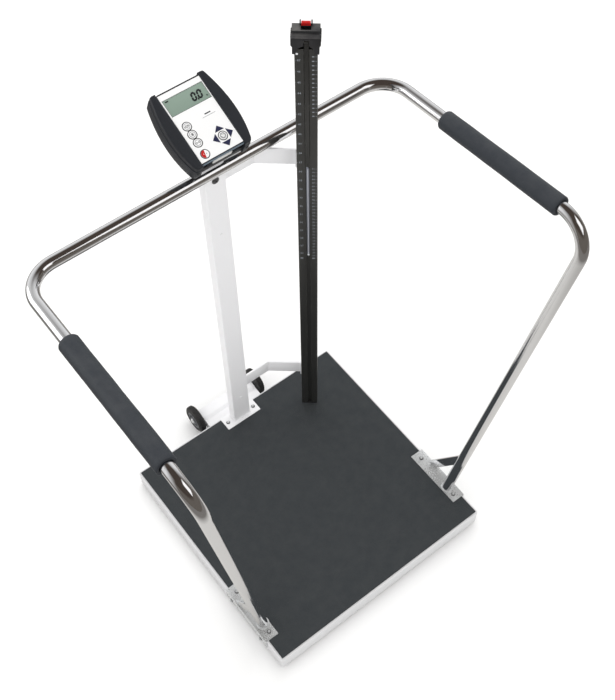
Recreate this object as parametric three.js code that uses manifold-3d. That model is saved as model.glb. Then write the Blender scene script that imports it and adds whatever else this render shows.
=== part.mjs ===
// Handrail scale: a low platform with a rubber mat, a wrap-round handrail, a display on a column
// and a telescopic height rod. Millimetres, +Z up, +X to the user's right.
// Origin: centre of the mat's top face. The user stands facing +Y, towards the column.
import * as THREE from "three";
import { mergeVertices } from "three/addons/utils/BufferGeometryUtils.js";
import Module from "manifold-3d";

const wasm = await Module();
wasm.setup();

const GAP = 0.3; // clearance between pieces that touch

// Platform
const DECK_SIDE = 610;
const DECK_WALL = 2.5;
const MAT_SIDE = 600;
const MAT_THICK = 3;
const FLOOR_Z = -60;
const SKIRT_Z = -52;
const DECK_Z = -MAT_THICK - GAP;
const FRAME_HIGH = 15;
const FRAME_BAR_X = 150;
const CELL = { long: 125, wide: 28, high: 18, x: 212, y: 236 };
const FOOT = { x: 262, padR: 18, studR: 5 };

// Column and its foot plate
const COLUMN = { wide: 48, deep: 25.5, front: 273.5, wall: 2, top: 985 };
const COLUMN_Y = COLUMN.front + COLUMN.deep / 2;
const COLUMN_PLATE = { wide: 103, front: 264 };
const PLATE_THICK = 3;

// Handrail, right side; the left side mirrors it
const RAIL_R = 12.7;
const RAIL_WALL = 2;
const RAIL_BEND_R = 68;
const LEG_FOOT = new THREE.Vector3(287, -206.5, 2.6);
const FRONT_BEND = new THREE.Vector3(423.8, -294.1, 987);
const BACK_BEND = new THREE.Vector3(419.7, 270.9, 944);
const RAIL_PLATE = { inner: 272, front: -247.5, back: -85.5, flangeZ: -38 };
const STRUT_FOOT = new THREE.Vector3(302, -137, PLATE_THICK);
const STRUT_TOP_Z = 149;
const STRUT = { wide: 22, thick: 6 };
const GRIP = { r: 20, bore: RAIL_R + GAP, front: -212, back: 95 };
const RAIL_BOLT_Z = 915;

// Wheels behind the platform
const WHEEL = { r: 37.5, wide: 20, x: 95, y: 353.6, z: FLOOR_Z + 41.5, hubR: 24, axleR: 5, boreR: 5.08 };
const WHEEL_BRACKET = { half: 82, thick: 3, back: 364 };

// Height rod: its bracket leaves the column along +X and turns towards the user at the bend
const BRACKET = { thick: 5, high: 41, lowZ: 141, highZ: 910, bendX: 97.5, turn: 39.5 };
const ROD_ALONG = 107; // from the bend to the rod's centre
const ROD = { wide: 40, front: -33, back: -7.2, bottom: 20, top: 1206, corner: 2 };
const CAVITY = { half: 15.5, front: -24.2, back: -9.6 };
const CHANNEL = { x: 1, wide: 9, deep: 5.2 };
const INNER = { bottom: 34, top: 1214, wall: 1.6 };
const HEAD = { bottom: 1199, shoulder: 1218, neck: 1233, top: 1237, front: -38, back: -3, blockFront: -23 };
const ARM = { wide: 8, thick: 4.6, pivotZ: 1222, tipZ: 915 };
const CATCH = { half: 8, front: -10, back: -6, bottom: 1232.5, top: 1245, travel: 4 };
const CATCH_WELL = { front: -20, back: -5.5 };

// Indicator, in its own frame: x across, y up the face, z out of the face
const FACE = { wide: 92, high: 147, y: 302, z: 1054, slope: 24 };
const SHELL = { high: 150, wall: 1.8, split: -20, back: -40, top: -1.5 };
const BUMPER = { top: 80, bottom: -81, raise: 3 };
const LCD = { wide: 86, high: 34, x: 0.5, y: 44.5 };
const KEY_R = 7.7;
const KEY_TOP = 0.8;
const KEY_BOTTOM = -2.4;
const LEFT_KEYS = { x: -29.5, first: -0.3, step: -17.9 };
const POWER_KEY = { x: -30, y: -60.5 };
const ENTER_KEY = { x: 18.8, y: -46.5 };
const ARROW = { out: 21.5, in: 11.5, half: 9.5 };
const PIVOT = { y: -25, z: -48, pinR: 3, earR: 6.5, earX: 18, lugX: 22.5 };

const rad = THREE.MathUtils.degToRad;

// ---- Materials ----
function material(color, roughness, metalness = 0) {
  return new THREE.MeshStandardMaterial({ color, roughness, metalness });
}
const WHITE = material(0xe4e5e7, 0.45);
const CHARCOAL = material(0x3d4043, 0.9);
const ZINC = material(0xc9cbcb, 0.35, 1);
const CHROME = material(0xdadada, 0.12, 1);
const STEEL = material(0x8d8f92, 0.4, 1);
const FOAM = material(0x42454b, 0.85);
const TYRE = material(0x2a2a2c, 0.8);
const HUB = material(0x9a9ca0, 0.5);
const BLACK = material(0x2b2b2a, 0.55);
const SLATE = material(0x3a3e44, 0.5);
const RED = material(0xc81e19, 0.45);
const FACE_WHITE = material(0xf0f0ee, 0.5);
const LCD_GREEN = material(0x8fa394, 0.3);
const BOARD_GREEN = material(0x1f5a3a, 0.6);
const NAVY = material(0x26294a, 0.5);

// ---- Solids: three.js geometry in and out of manifold-3d ----
function solid(geometry) {
  const bare = geometry.index ? geometry.toNonIndexed() : geometry.clone();
  bare.deleteAttribute("normal");
  bare.deleteAttribute("uv");
  const merged = mergeVertices(bare, 1e-4);
  return new wasm.Manifold(
    new wasm.Mesh({
      numProp: 3,
      vertProperties: merged.attributes.position.array,
      triVerts: new Uint32Array(merged.index.array),
    }),
  );
}

function geometryOf(shape) {
  const mesh = shape.getMesh();
  const geometry = new THREE.BufferGeometry();
  geometry.setAttribute("position", new THREE.BufferAttribute(mesh.vertProperties, 3));
  geometry.setIndex(new THREE.BufferAttribute(mesh.triVerts, 1));
  geometry.computeVertexNormals();
  return geometry;
}

function cut(shape, ...tools) {
  return tools.reduce((left, tool) => left.subtract(tool), shape);
}

function join(shape, ...others) {
  return others.reduce((all, other) => all.add(other), shape);
}

// A box from its lowest to its highest corner.
function block(low, high) {
  const size = high.map((v, i) => v - low[i]);
  const middle = high.map((v, i) => (v + low[i]) / 2);
  return solid(new THREE.BoxGeometry(...size).translate(...middle));
}

// A cylinder between two points.
function rod(from, to, radius, segments = 24) {
  const a = new THREE.Vector3(...from);
  const b = new THREE.Vector3(...to);
  const along = b.clone().sub(a);
  const geometry = new THREE.CylinderGeometry(radius, radius, along.length(), segments);
  const turn = new THREE.Quaternion().setFromUnitVectors(new THREE.Vector3(0, 1, 0), along.normalize());
  geometry.applyQuaternion(turn).translate(...a.add(b).multiplyScalar(0.5).toArray());
  return solid(geometry);
}

function outline(points) {
  return new THREE.Shape(points.map(([x, y]) => new THREE.Vector2(x, y)));
}

function roundedRectangle(x0, y0, x1, y1, r) {
  const shape = new THREE.Shape();
  shape.moveTo(x0 + r, y0);
  shape.lineTo(x1 - r, y0);
  shape.absarc(x1 - r, y0 + r, r, -Math.PI / 2, 0);
  shape.absarc(x1 - r, y1 - r, r, 0, Math.PI / 2);
  shape.absarc(x0 + r, y1 - r, r, Math.PI / 2, Math.PI);
  shape.absarc(x0 + r, y0 + r, r, Math.PI, 1.5 * Math.PI);
  return shape;
}

// A flat outline raised from z0 to z1, with an optional chamfer on its edges.
function plate(shape, z0, z1, chamfer = 0, curveSegments = 4) {
  const geometry = new THREE.ExtrudeGeometry(shape, {
    depth: z1 - z0 - 2 * chamfer,
    bevelEnabled: chamfer > 0,
    bevelSize: chamfer,
    bevelThickness: chamfer,
    bevelOffset: -chamfer,
    bevelSegments: 1,
    curveSegments,
  });
  return solid(geometry.translate(0, 0, z0 + chamfer));
}

// An outline in (y, z) raised along x from x0 to x1.
function plateAlongX(points, x0, x1) {
  const geometry = new THREE.ExtrudeGeometry(outline(points), { depth: x1 - x0, bevelEnabled: false });
  geometry.applyMatrix4(new THREE.Matrix4().makeBasis(
    new THREE.Vector3(0, 1, 0), new THREE.Vector3(0, 0, 1), new THREE.Vector3(1, 0, 0)));
  return solid(geometry.translate(x0, 0, 0));
}

// A turned piece about a line along x; the profile is (radius, x).
function turnedAlongX(profile, x, y, z, segments = 32) {
  const points = profile.map(([r, h]) => new THREE.Vector2(r, h));
  const geometry = new THREE.LatheGeometry(points, segments);
  return solid(geometry.rotateZ(-Math.PI / 2).translate(x, y, z));
}

// A turned piece about a vertical line; the profile is (radius, z).
function turned(profile, x, y, segments = 24) {
  const points = profile.map(([r, h]) => new THREE.Vector2(r, h));
  return solid(new THREE.LatheGeometry(points, segments).rotateX(Math.PI / 2).translate(x, y, 0));
}

function add(group, name, shape, look) {
  const mesh = new THREE.Mesh(geometryOf(shape), look);
  mesh.name = name;
  group.add(mesh);
  return mesh;
}

const root = new THREE.Group();

// ---- Platform ----
function deck() {
  const half = DECK_SIDE / 2;
  const inside = half - DECK_WALL;
  const outer = plate(roundedRectangle(-half, -half, half, half, 7), SKIRT_Z, DECK_Z, 1.5);
  const hollow = block([-inside, -inside, SKIRT_Z - 5], [inside, inside, DECK_Z - DECK_WALL]);
  return cut(outer, hollow);
}

function mat() {
  const half = MAT_SIDE / 2;
  const sheet = plate(roundedRectangle(-half, -half, half, half, 1.5), -MAT_THICK, 0, 0.4);
  const columnHalf = COLUMN_PLATE.wide / 2;
  const notches = [block([-columnHalf, COLUMN_PLATE.front, -9], [columnHalf, half + 9, 9])];
  for (const side of [-1, 1]) {
    const xs = [side * RAIL_PLATE.inner, side * (half + 9)].sort((a, b) => a - b);
    notches.push(block([xs[0], RAIL_PLATE.front, -9], [xs[1], RAIL_PLATE.back, 9]));
  }
  return cut(sheet, ...notches);
}

const FRAME_TOP = DECK_Z - DECK_WALL - GAP;
const FRAME_BOTTOM = FRAME_TOP - FRAME_HIGH;

function baseFrame() {
  const bar = (x) => block([x - 20, -275, FRAME_BOTTOM], [x + 20, 275, FRAME_TOP]);
  const cross = block([-FRAME_BAR_X, -20, FRAME_BOTTOM], [FRAME_BAR_X, 20, FRAME_TOP]);
  return join(bar(-FRAME_BAR_X), cross, bar(FRAME_BAR_X));
}

function loadCell(sx, sy) {
  const top = FRAME_BOTTOM - GAP;
  const bottom = top - CELL.high;
  const x = sx * CELL.x;
  const y = sy * CELL.y;
  const body = block(
    [x - CELL.long / 2, y - CELL.wide / 2, bottom],
    [x + CELL.long / 2, y + CELL.wide / 2, top],
  );
  const middle = (top + bottom) / 2;
  const waists = [-8, 8].map((dx) => rod([x + dx, y - 20, middle], [x + dx, y + 20, middle], 6, 16));
  const thread = rod([sx * FOOT.x, y, bottom - 1], [sx * FOOT.x, y, top + 1], FOOT.studR + GAP, 20);
  return cut(body, ...waists, thread);
}

function levellingFoot(sx, sy) {
  const studTop = FRAME_BOTTOM - 3;
  const profile = [
    [0, FLOOR_Z], [FOOT.padR - 1, FLOOR_Z], [FOOT.padR, FLOOR_Z + 3], [FOOT.padR - 5, FLOOR_Z + 10],
    [FOOT.studR, FLOOR_Z + 11], [FOOT.studR, studTop], [0, studTop],
  ];
  return turned(profile, sx * FOOT.x, sy * CELL.y, 20);
}

function platform() {
  add(root, "platform_deck", deck(), WHITE);
  add(root, "rubber_mat", mat(), CHARCOAL);
  add(root, "base_frame", baseFrame(), STEEL);
  const corners = [
    ["front_left", -1, -1], ["front_right", 1, -1], ["rear_left", -1, 1], ["rear_right", 1, 1],
  ];
  for (const [corner, sx, sy] of corners) {
    add(root, "load_cell_" + corner, loadCell(sx, sy), STEEL);
    add(root, "levelling_foot_" + corner, levellingFoot(sx, sy), BLACK);
  }
  const box = plate(roundedRectangle(-55, 90, 55, 150, 4), FRAME_TOP - 26, FRAME_TOP, 1);
  add(root, "junction_box", box, HUB);
}

// ---- Column ----
function column() {
  const x = COLUMN.wide / 2;
  const y0 = COLUMN.front;
  const y1 = y0 + COLUMN.deep;
  const outer = plate(roundedRectangle(-x, y0, x, y1, 2), GAP, COLUMN.top);
  const w = COLUMN.wall;
  const bore = block([-x + w, y0 + w, -5], [x - w, y1 - w, COLUMN.top + 5]);
  const saddle = rod([-x - 5, BACK_BEND.y, BACK_BEND.z], [x + 5, BACK_BEND.y, BACK_BEND.z], RAIL_R + GAP, 32);
  const boltHole = rod([0, y0 - 5, RAIL_BOLT_Z], [0, y0 + w + 5, RAIL_BOLT_Z], 3 + GAP, 16);
  return cut(outer, bore, saddle, boltHole);
}

function columnPlate() {
  const half = COLUMN_PLATE.wide / 2 - GAP;
  const shape = roundedRectangle(-half, COLUMN_PLATE.front + GAP, half, DECK_SIDE / 2, 2);
  return plate(shape, -PLATE_THICK, 0);
}

function railBolt() {
  const head = rod([0, COLUMN.front - 4.5, RAIL_BOLT_Z], [0, COLUMN.front - GAP, RAIL_BOLT_Z], 6.5, 20);
  const shank = rod([0, COLUMN.front - 2, RAIL_BOLT_Z], [0, COLUMN.front + 16, RAIL_BOLT_Z], 3, 16);
  return join(head, shank);
}

function columnAssembly() {
  add(root, "column_post", column(), WHITE);
  add(root, "column_foot_plate", columnPlate(), ZINC);
  add(root, "rail_bolt", railBolt(), CHROME);
}

// ---- Wheels ----
function wheelBracket() {
  const y0 = DECK_SIDE / 2 + GAP;
  const { half, thick: t, back } = WHEEL_BRACKET;
  const side = [
    [y0, -44], [y0 + t, -44], [y0 + t, -14], [y0 + 24, -14], [y0 + 32, -8], [back, -8],
    [back, -8 + t], [y0 + 31, -8 + t], [y0 + 23, -14 + t], [y0, -14 + t],
  ];
  const sheet = plateAlongX(side, -half, half);
  const ear = [[y0, -11], [back, -5], [back, WHEEL.z - 10], [WHEEL.y - 12, WHEEL.z - 13], [y0, -44]];
  const ears = [plateAlongX(ear, -half, -half + t), plateAlongX(ear, half - t, half)];
  const bore = rod([-half - 5, WHEEL.y, WHEEL.z], [half + 5, WHEEL.y, WHEEL.z], WHEEL.axleR + GAP, 24);
  return cut(join(sheet, ...ears), bore);
}

function wheelAxle() {
  const end = WHEEL.x + WHEEL.wide / 2 + 1;
  const profile = [
    [0, -end - 4], [7, -end - 4], [8, -end - 2], [8, -end], [WHEEL.axleR, -end],
    [WHEEL.axleR, end], [8, end], [8, end + 2], [7, end + 4], [0, end + 4],
  ];
  return turnedAlongX(profile, 0, WHEEL.y, WHEEL.z, 32);
}

function tyre(x) {
  const half = WHEEL.wide / 2;
  const bore = WHEEL.hubR + GAP;
  const r = WHEEL.r;
  const profile = [
    [bore, -half], [r - 6, -half], [r - 2, -half + 2.5], [r, -half + 6], [r, half - 6],
    [r - 2, half - 2.5], [r - 6, half], [bore, half], [bore, -half],
  ];
  return turnedAlongX(profile, x, WHEEL.y, WHEEL.z, 40);
}

function hub(x) {
  const half = WHEEL.wide / 2;
  const { hubR: r, boreR: bore } = WHEEL;
  const profile = [
    [bore, -half], [10, -half], [11, -3], [r - 5, -3], [r - 4, -half + 1], [r, -half + 1],
    [r, half - 1], [r - 4, half - 1], [r - 5, 3], [11, 3], [10, half], [bore, half], [bore, -half],
  ];
  return turnedAlongX(profile, x, WHEEL.y, WHEEL.z, 32);
}

function wheels() {
  add(root, "wheel_bracket", wheelBracket(), WHITE);
  add(root, "wheel_axle", wheelAxle(), ZINC);
  for (const [side, x] of [["left", -WHEEL.x], ["right", WHEEL.x]]) {
    add(root, "wheel_tyre_" + side, tyre(x), TYRE);
    add(root, "wheel_hub_" + side, hub(x), HUB);
  }
}

// ---- Handrail ----
// A path whose sections stand only at the points given.
class SectionPath extends THREE.Curve {
  constructor(points) {
    super();
    this.points = points;
  }
  getPoint(t, target = new THREE.Vector3()) {
    const place = t * (this.points.length - 1);
    const i = Math.min(Math.floor(place), this.points.length - 2);
    return target.lerpVectors(this.points[i], this.points[i + 1], place - i);
  }
  getPointAt(u, target) {
    return this.getPoint(u, target);
  }
  getTangentAt(u, target = new THREE.Vector3()) {
    const i = Math.round(u * (this.points.length - 1));
    const before = this.points[Math.max(i - 1, 0)];
    const after = this.points[Math.min(i + 1, this.points.length - 1)];
    return target.subVectors(after, before).normalize();
  }
}

// The points of a round bend at a corner, from the leg before it to the leg after it.
function bend(before, corner, after, radius, steps = 9) {
  const inward = before.clone().sub(corner).normalize();
  const outward = after.clone().sub(corner).normalize();
  const halfAngle = inward.angleTo(outward) / 2;
  const middle = inward.clone().add(outward).normalize();
  const centre = corner.clone().addScaledVector(middle, radius / Math.sin(halfAngle));
  const start = corner.clone().addScaledVector(inward, radius / Math.tan(halfAngle)).sub(centre);
  const axis = inward.clone().cross(outward).normalize();
  const sweep = Math.PI - 2 * halfAngle;
  return Array.from({ length: steps }, (_, i) =>
    start.clone().applyAxisAngle(axis, -sweep * i / (steps - 1)).add(centre));
}

const mirrored = (v) => new THREE.Vector3(-v.x, v.y, v.z);

function ring(outer, inner) {
  const shape = new THREE.Shape();
  shape.absarc(0, 0, outer, 0, 2 * Math.PI);
  const hole = new THREE.Path();
  hole.absarc(0, 0, inner, 0, 2 * Math.PI, true);
  shape.holes.push(hole);
  return shape;
}

function pipe(points, outer, inner, segments) {
  const geometry = new THREE.ExtrudeGeometry(ring(outer, inner), {
    steps: points.length - 1,
    extrudePath: new SectionPath(points),
    curveSegments: segments,
  });
  return solid(geometry);
}

function handrail() {
  const rightSide = [LEG_FOOT, FRONT_BEND, BACK_BEND];
  const corners = [...rightSide, ...rightSide.toReversed().map(mirrored)];
  const points = [corners[0]];
  for (let i = 1; i < corners.length - 1; i++) {
    points.push(...bend(corners[i - 1], corners[i], corners[i + 1], RAIL_BEND_R));
  }
  points.push(corners[corners.length - 1]);
  return pipe(points, RAIL_R, RAIL_R - RAIL_WALL, 8);
}

// A point on the straight line between two others, at a given coordinate.
function pointOn(from, to, axis, value) {
  return from.clone().lerp(to, (value - from[axis]) / (to[axis] - from[axis]));
}

function grip() {
  const ends = [GRIP.front, GRIP.back].map((y) => pointOn(FRONT_BEND, BACK_BEND, "y", y));
  const half = ends[0].distanceTo(ends[1]) / 2;
  const { r, bore } = GRIP;
  const profile = [
    [bore, -half + 3], [bore + 3, -half], [r - 2, -half], [r, -half + 3], [r, half - 3],
    [r - 2, half], [bore + 3, half], [bore, half - 3], [bore, -half + 3],
  ];
  const geometry = new THREE.LatheGeometry(profile.map(([a, h]) => new THREE.Vector2(a, h)), 24);
  const along = ends[1].clone().sub(ends[0]).normalize();
  geometry.applyQuaternion(new THREE.Quaternion().setFromUnitVectors(new THREE.Vector3(0, 1, 0), along));
  return solid(geometry.translate(...ends[0].add(ends[1]).multiplyScalar(0.5).toArray()));
}

function railPlate() {
  const { inner, front, back, flangeZ } = RAIL_PLATE;
  const outer = DECK_SIDE / 2 + GAP + PLATE_THICK;
  const top = block([inner + GAP, front + GAP, -PLATE_THICK], [outer, back - GAP, 0]);
  const flange = block([outer - PLATE_THICK, front + GAP, flangeZ], [outer, back - GAP, 0]);
  return join(top, flange);
}

function strut() {
  const top = pointOn(LEG_FOOT, FRONT_BEND, "z", STRUT_TOP_Z);
  const along = top.clone().sub(STRUT_FOOT);
  const length = along.length();
  const across = new THREE.Vector3(1, 0, 0).cross(along).normalize();
  const thin = along.clone().normalize().cross(across).negate();
  const bar = new THREE.BoxGeometry(STRUT.wide, STRUT.thick, length + 30);
  const turn = new THREE.Matrix4().makeBasis(across, thin, across.clone().cross(thin));
  const middle = STRUT_FOOT.clone().add(top).multiplyScalar(0.5);
  bar.applyMatrix4(turn).translate(...middle.toArray());
  const legStart = LEG_FOOT.clone().lerp(FRONT_BEND, -0.05);
  const leg = rod(legStart.toArray(), FRONT_BEND.toArray(), RAIL_R + GAP, 32);
  const below = block([250, -400, -100], [350, 0, GAP]);
  const behindLeg = block([250, -400, -100], [350, top.y, 400]);
  return cut(solid(bar), leg, below, behindLeg);
}

function mirrorX(shape) {
  const geometry = geometryOf(shape).scale(-1, 1, 1);
  const index = geometry.index.array;
  for (let i = 0; i < index.length; i += 3) {
    [index[i], index[i + 1]] = [index[i + 1], index[i]];
  }
  return solid(geometry);
}

function handrailAssembly() {
  add(root, "handrail_tube", handrail(), CHROME);
  const pieces = [
    ["handrail_plate", railPlate(), ZINC],
    ["handrail_strut", strut(), CHROME],
    ["handrail_grip", grip(), FOAM],
  ];
  for (const [name, shape, look] of pieces) {
    add(root, name + "_right", shape, look);
    add(root, name + "_left", mirrorX(shape), look);
  }
}

// ---- Height rod ----
const TURN = -rad(BRACKET.turn);
const ROD_X = BRACKET.bendX + ROD_ALONG * Math.cos(TURN);
const ROD_Y = COLUMN_Y + ROD_ALONG * Math.sin(TURN);

function rodBracket(z) {
  const half = BRACKET.thick / 2;
  const start = COLUMN.wide / 2 + GAP;
  const tab = 4;
  const end = ROD_ALONG + 19;
  const fold = half * Math.tan(TURN / 2);
  const point = (along, side) => [
    BRACKET.bendX + along * Math.cos(TURN) - side * Math.sin(TURN),
    COLUMN_Y + along * Math.sin(TURN) + side * Math.cos(TURN),
  ];
  const shape = outline([
    [start, COLUMN_Y - half], [BRACKET.bendX + fold, COLUMN_Y - half], point(end, -half), point(end, half),
    [BRACKET.bendX - fold, COLUMN_Y + half], [start + tab, COLUMN_Y + half],
    [start + tab, COLUMN_Y + 11], [start, COLUMN_Y + 11],
  ]);
  return plate(shape, z - BRACKET.high / 2, z + BRACKET.high / 2);
}

// The backing plate between bracket and rod, a little taller, with two chamfered corners.
function rodPlate(z) {
  const y0 = -BRACKET.thick / 2 - GAP - 4;
  const high = BRACKET.high / 2 + 4.5;
  const points = [
    [-24, z - high], [13.5, z - high], [19.5, z - high + 6],
    [19.5, z + high - 6], [13.5, z + high], [-24, z + high],
  ];
  const geometry = new THREE.ExtrudeGeometry(outline(points), { depth: 4, bevelEnabled: false });
  return solid(geometry.rotateX(Math.PI / 2).translate(0, y0 + 4, 0));
}

function rodOuter() {
  const shape = new THREE.Shape();
  const { wide, front, back, corner: c } = ROD;
  const half = wide / 2;
  const slot0 = CHANNEL.x - CHANNEL.wide / 2;
  const slot1 = CHANNEL.x + CHANNEL.wide / 2;
  shape.moveTo(-half + c, front);
  shape.lineTo(slot0, front);
  shape.lineTo(slot0, front + CHANNEL.deep);
  shape.lineTo(slot1, front + CHANNEL.deep);
  shape.lineTo(slot1, front);
  shape.lineTo(half - c, front);
  shape.absarc(half - c, front + c, c, -Math.PI / 2, 0);
  shape.lineTo(half, back);
  shape.lineTo(-half, back);
  shape.lineTo(-half, front + c);
  shape.absarc(-half + c, front + c, c, Math.PI, 1.5 * Math.PI);
  const cavity = outline([
    [-CAVITY.half, CAVITY.front], [-CAVITY.half, CAVITY.back],
    [CAVITY.half, CAVITY.back], [CAVITY.half, CAVITY.front],
  ]);
  shape.holes.push(new THREE.Path(cavity.getPoints()));
  return plate(shape, ROD.bottom, ROD.top);
}

function rodCap() {
  const bottom = ROD.bottom - GAP - 5;
  const shape = roundedRectangle(-ROD.wide / 2, ROD.front, ROD.wide / 2, ROD.back, ROD.corner);
  const body = plate(shape, bottom, ROD.bottom - GAP, 1);
  const plug = block(
    [-CAVITY.half + GAP, CAVITY.front + GAP, bottom + 1],
    [CAVITY.half - GAP, CAVITY.back - GAP, ROD.bottom + 10],
  );
  return join(body, plug);
}

function rodInner() {
  const low = [-CAVITY.half + GAP, CAVITY.front + GAP, INNER.bottom];
  const high = [CAVITY.half - GAP, CAVITY.back - GAP, INNER.top];
  const w = INNER.wall;
  const bore = block([low[0] + w, low[1] + w, low[2] - 5], [high[0] - w, high[1] - w, high[2] + 5]);
  return cut(block(low, high), bore);
}

const PIVOT_Y = ROD.front + 2;

// The head's body is a shoulder over a skirt, with a narrower block along the back of its top.
function rodHead() {
  const { bottom, shoulder, neck, top, front, back, blockFront } = HEAD;
  const tier = (half, y0, z0, z1, chamfer) =>
    plate(roundedRectangle(-half, y0, half, back, 4), z0, z1, chamfer);
  const prong = CATCH.half + 0.9;
  const posts = [-1, 1].map((side) => {
    const xs = [side * prong, side * (prong + 2.2)].sort((a, b) => a - b);
    return block([xs[0], CATCH.front + 1, neck], [xs[1], CATCH.back + 2, top + 9]);
  });
  const body = join(
    tier(23.5, front + 1, bottom, shoulder + 1, 1),
    tier(26, front, shoulder, neck + 1, 3),
    tier(24.5, blockFront, neck, top, 0.8),
    ...posts,
  );
  const skirt = block(
    [-ROD.wide / 2 - GAP, ROD.front - GAP, bottom - 1],
    [ROD.wide / 2 + GAP, ROD.back + GAP, ROD.top + GAP],
  );
  const socket = block(
    [-CAVITY.half, CAVITY.front, bottom],
    [CAVITY.half, CAVITY.back, INNER.top + GAP],
  );
  const armHalf = ARM.wide / 2 + 0.6;
  const armSlot = block(
    [CHANNEL.x - armHalf, front - 5, bottom - 5],
    [CHANNEL.x + armHalf, PIVOT_Y + 5, ARM.pivotZ + 6],
  );
  const catchWell = block(
    [-CATCH.half - 0.5, CATCH_WELL.front, CATCH.bottom - CATCH.travel - 0.5],
    [CATCH.half + 0.5, CATCH_WELL.back, top + 12],
  );
  const pinHole = rod([-14, PIVOT_Y, ARM.pivotZ], [40, PIVOT_Y, ARM.pivotZ], 1.5 + GAP, 12);
  return cut(body, skirt, socket, armSlot, catchWell, pinHole);
}

function measuringArm() {
  const front = PIVOT_Y - ARM.thick / 2;
  const back = PIVOT_Y + ARM.thick / 2;
  const { pivotZ, tipZ } = ARM;
  const side = [[front, pivotZ - 1], [front, tipZ], [back, tipZ + 9], [back, pivotZ - 1]];
  const x0 = CHANNEL.x - ARM.wide / 2;
  const x1 = CHANNEL.x + ARM.wide / 2;
  const blade = plateAlongX(side, x0, x1);
  const eye = rod([x0, PIVOT_Y, pivotZ], [x1, PIVOT_Y, pivotZ], 3.6, 16);
  const bore = rod([x0 - 5, PIVOT_Y, pivotZ], [x1 + 5, PIVOT_Y, pivotZ], 1.58, 12);
  return cut(join(blade, eye), bore);
}

function releaseCatch() {
  const { half, front, back, bottom, top } = CATCH;
  const tab = block([-half, front, bottom], [half, back, top]);
  const lip = block([-half, front - 2, top - 3], [half, front + 1, top]);
  return join(tab, lip);
}

function heightRod() {
  for (const [level, z] of [["lower", BRACKET.lowZ], ["upper", BRACKET.highZ]]) {
    add(root, "rod_bracket_" + level, rodBracket(z), WHITE);
  }
  const group = new THREE.Group();
  group.position.set(ROD_X, ROD_Y, 0);
  group.rotation.z = TURN;
  root.add(group);
  add(group, "rod_plate_lower", rodPlate(BRACKET.lowZ), WHITE);
  add(group, "rod_plate_upper", rodPlate(BRACKET.highZ), WHITE);
  add(group, "rod_outer_profile", rodOuter(), BLACK);
  add(group, "rod_bottom_cap", rodCap(), BLACK);
  add(group, "rod_inner_profile", rodInner(), BLACK);
  add(group, "rod_head", rodHead(), SLATE);
  add(group, "measuring_arm", measuringArm(), BLACK);
  const pin = rod([-11, PIVOT_Y, ARM.pivotZ], [14, PIVOT_Y, ARM.pivotZ], 1.5, 12);
  add(group, "arm_pin", pin, ZINC);
  add(group, "release_catch", releaseCatch(), RED);
}

// ---- Indicator ----
function shellRing(z0, z1) {
  const half = FACE.wide / 2;
  const high = SHELL.high / 2;
  const w = SHELL.wall;
  const inside = block([-half + w, -high + w, z0 - 5], [half - w, high - w, z1 + 5]);
  return [plate(roundedRectangle(-half, -high, half, high, 3), z0, z1), inside];
}

function frontShell() {
  return cut(...shellRing(SHELL.split, SHELL.top));
}

// The rear shell is a tray with two lugs that take the tilt pin.
function rearShell() {
  const [tray] = shellRing(SHELL.back, SHELL.split - GAP);
  const w = SHELL.wall;
  const half = FACE.wide / 2 - w;
  const high = SHELL.high / 2 - w;
  const hollow = block([-half, -high, SHELL.back + w], [half, high, 0]);
  const lugs = [-1, 1].map((s) => {
    const xs = [s * PIVOT.lugX, s * (PIVOT.lugX + 7)].sort((a, b) => a - b);
    const ear = [
      [PIVOT.y - 12, SHELL.back + 1], [PIVOT.y - 5, PIVOT.z - 5], [PIVOT.y + 5, PIVOT.z - 5],
      [PIVOT.y + 12, SHELL.back + 1],
    ];
    return plateAlongX(ear, ...xs);
  });
  const bore = rod([-60, PIVOT.y, PIVOT.z], [60, PIVOT.y, PIVOT.z], PIVOT.pinR + 0.08, 20);
  return cut(join(cut(tray, hollow), ...lugs), bore);
}

// A side bumper: straight against the shell, bowed outside, wrapping a little over both ends.
function bumper() {
  const x = FACE.wide / 2 + GAP;
  const shape = new THREE.Shape();
  shape.moveTo(x, BUMPER.bottom + 4);
  shape.lineTo(x, BUMPER.bottom);
  shape.lineTo(x + 11, BUMPER.bottom);
  shape.quadraticCurveTo(x + 16, BUMPER.bottom, x + 18, BUMPER.bottom + 7);
  shape.quadraticCurveTo(x + 38, -8, x + 14, BUMPER.top - 4);
  shape.quadraticCurveTo(x + 12.5, BUMPER.top, x + 9, BUMPER.top);
  shape.lineTo(x, BUMPER.top);
  return plate(shape, SHELL.back - 1, BUMPER.raise, 2.5, 8);
}

function triangle(turn, grow) {
  const { out, in: near, half } = ARROW;
  const points = [[-half - grow, near - grow], [half + grow, near - grow], [0, out + 1.6 * grow]];
  const angle = rad(turn);
  return points.map(([x, y]) => [
    ENTER_KEY.x + x * Math.cos(angle) - y * Math.sin(angle),
    ENTER_KEY.y + x * Math.sin(angle) + y * Math.cos(angle),
  ]);
}

const ROUND_KEYS = [
  ["key_units", LEFT_KEYS.x, LEFT_KEYS.first],
  ["key_hold", LEFT_KEYS.x, LEFT_KEYS.first + LEFT_KEYS.step],
  ["key_zero", LEFT_KEYS.x, LEFT_KEYS.first + 2 * LEFT_KEYS.step],
  ["key_power", POWER_KEY.x, POWER_KEY.y],
  ["key_enter", ENTER_KEY.x, ENTER_KEY.y],
];
const ARROW_KEYS = [
  ["key_arrow_up", 0], ["key_arrow_left", 90], ["key_arrow_down", 180], ["key_arrow_right", 270],
];

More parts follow.
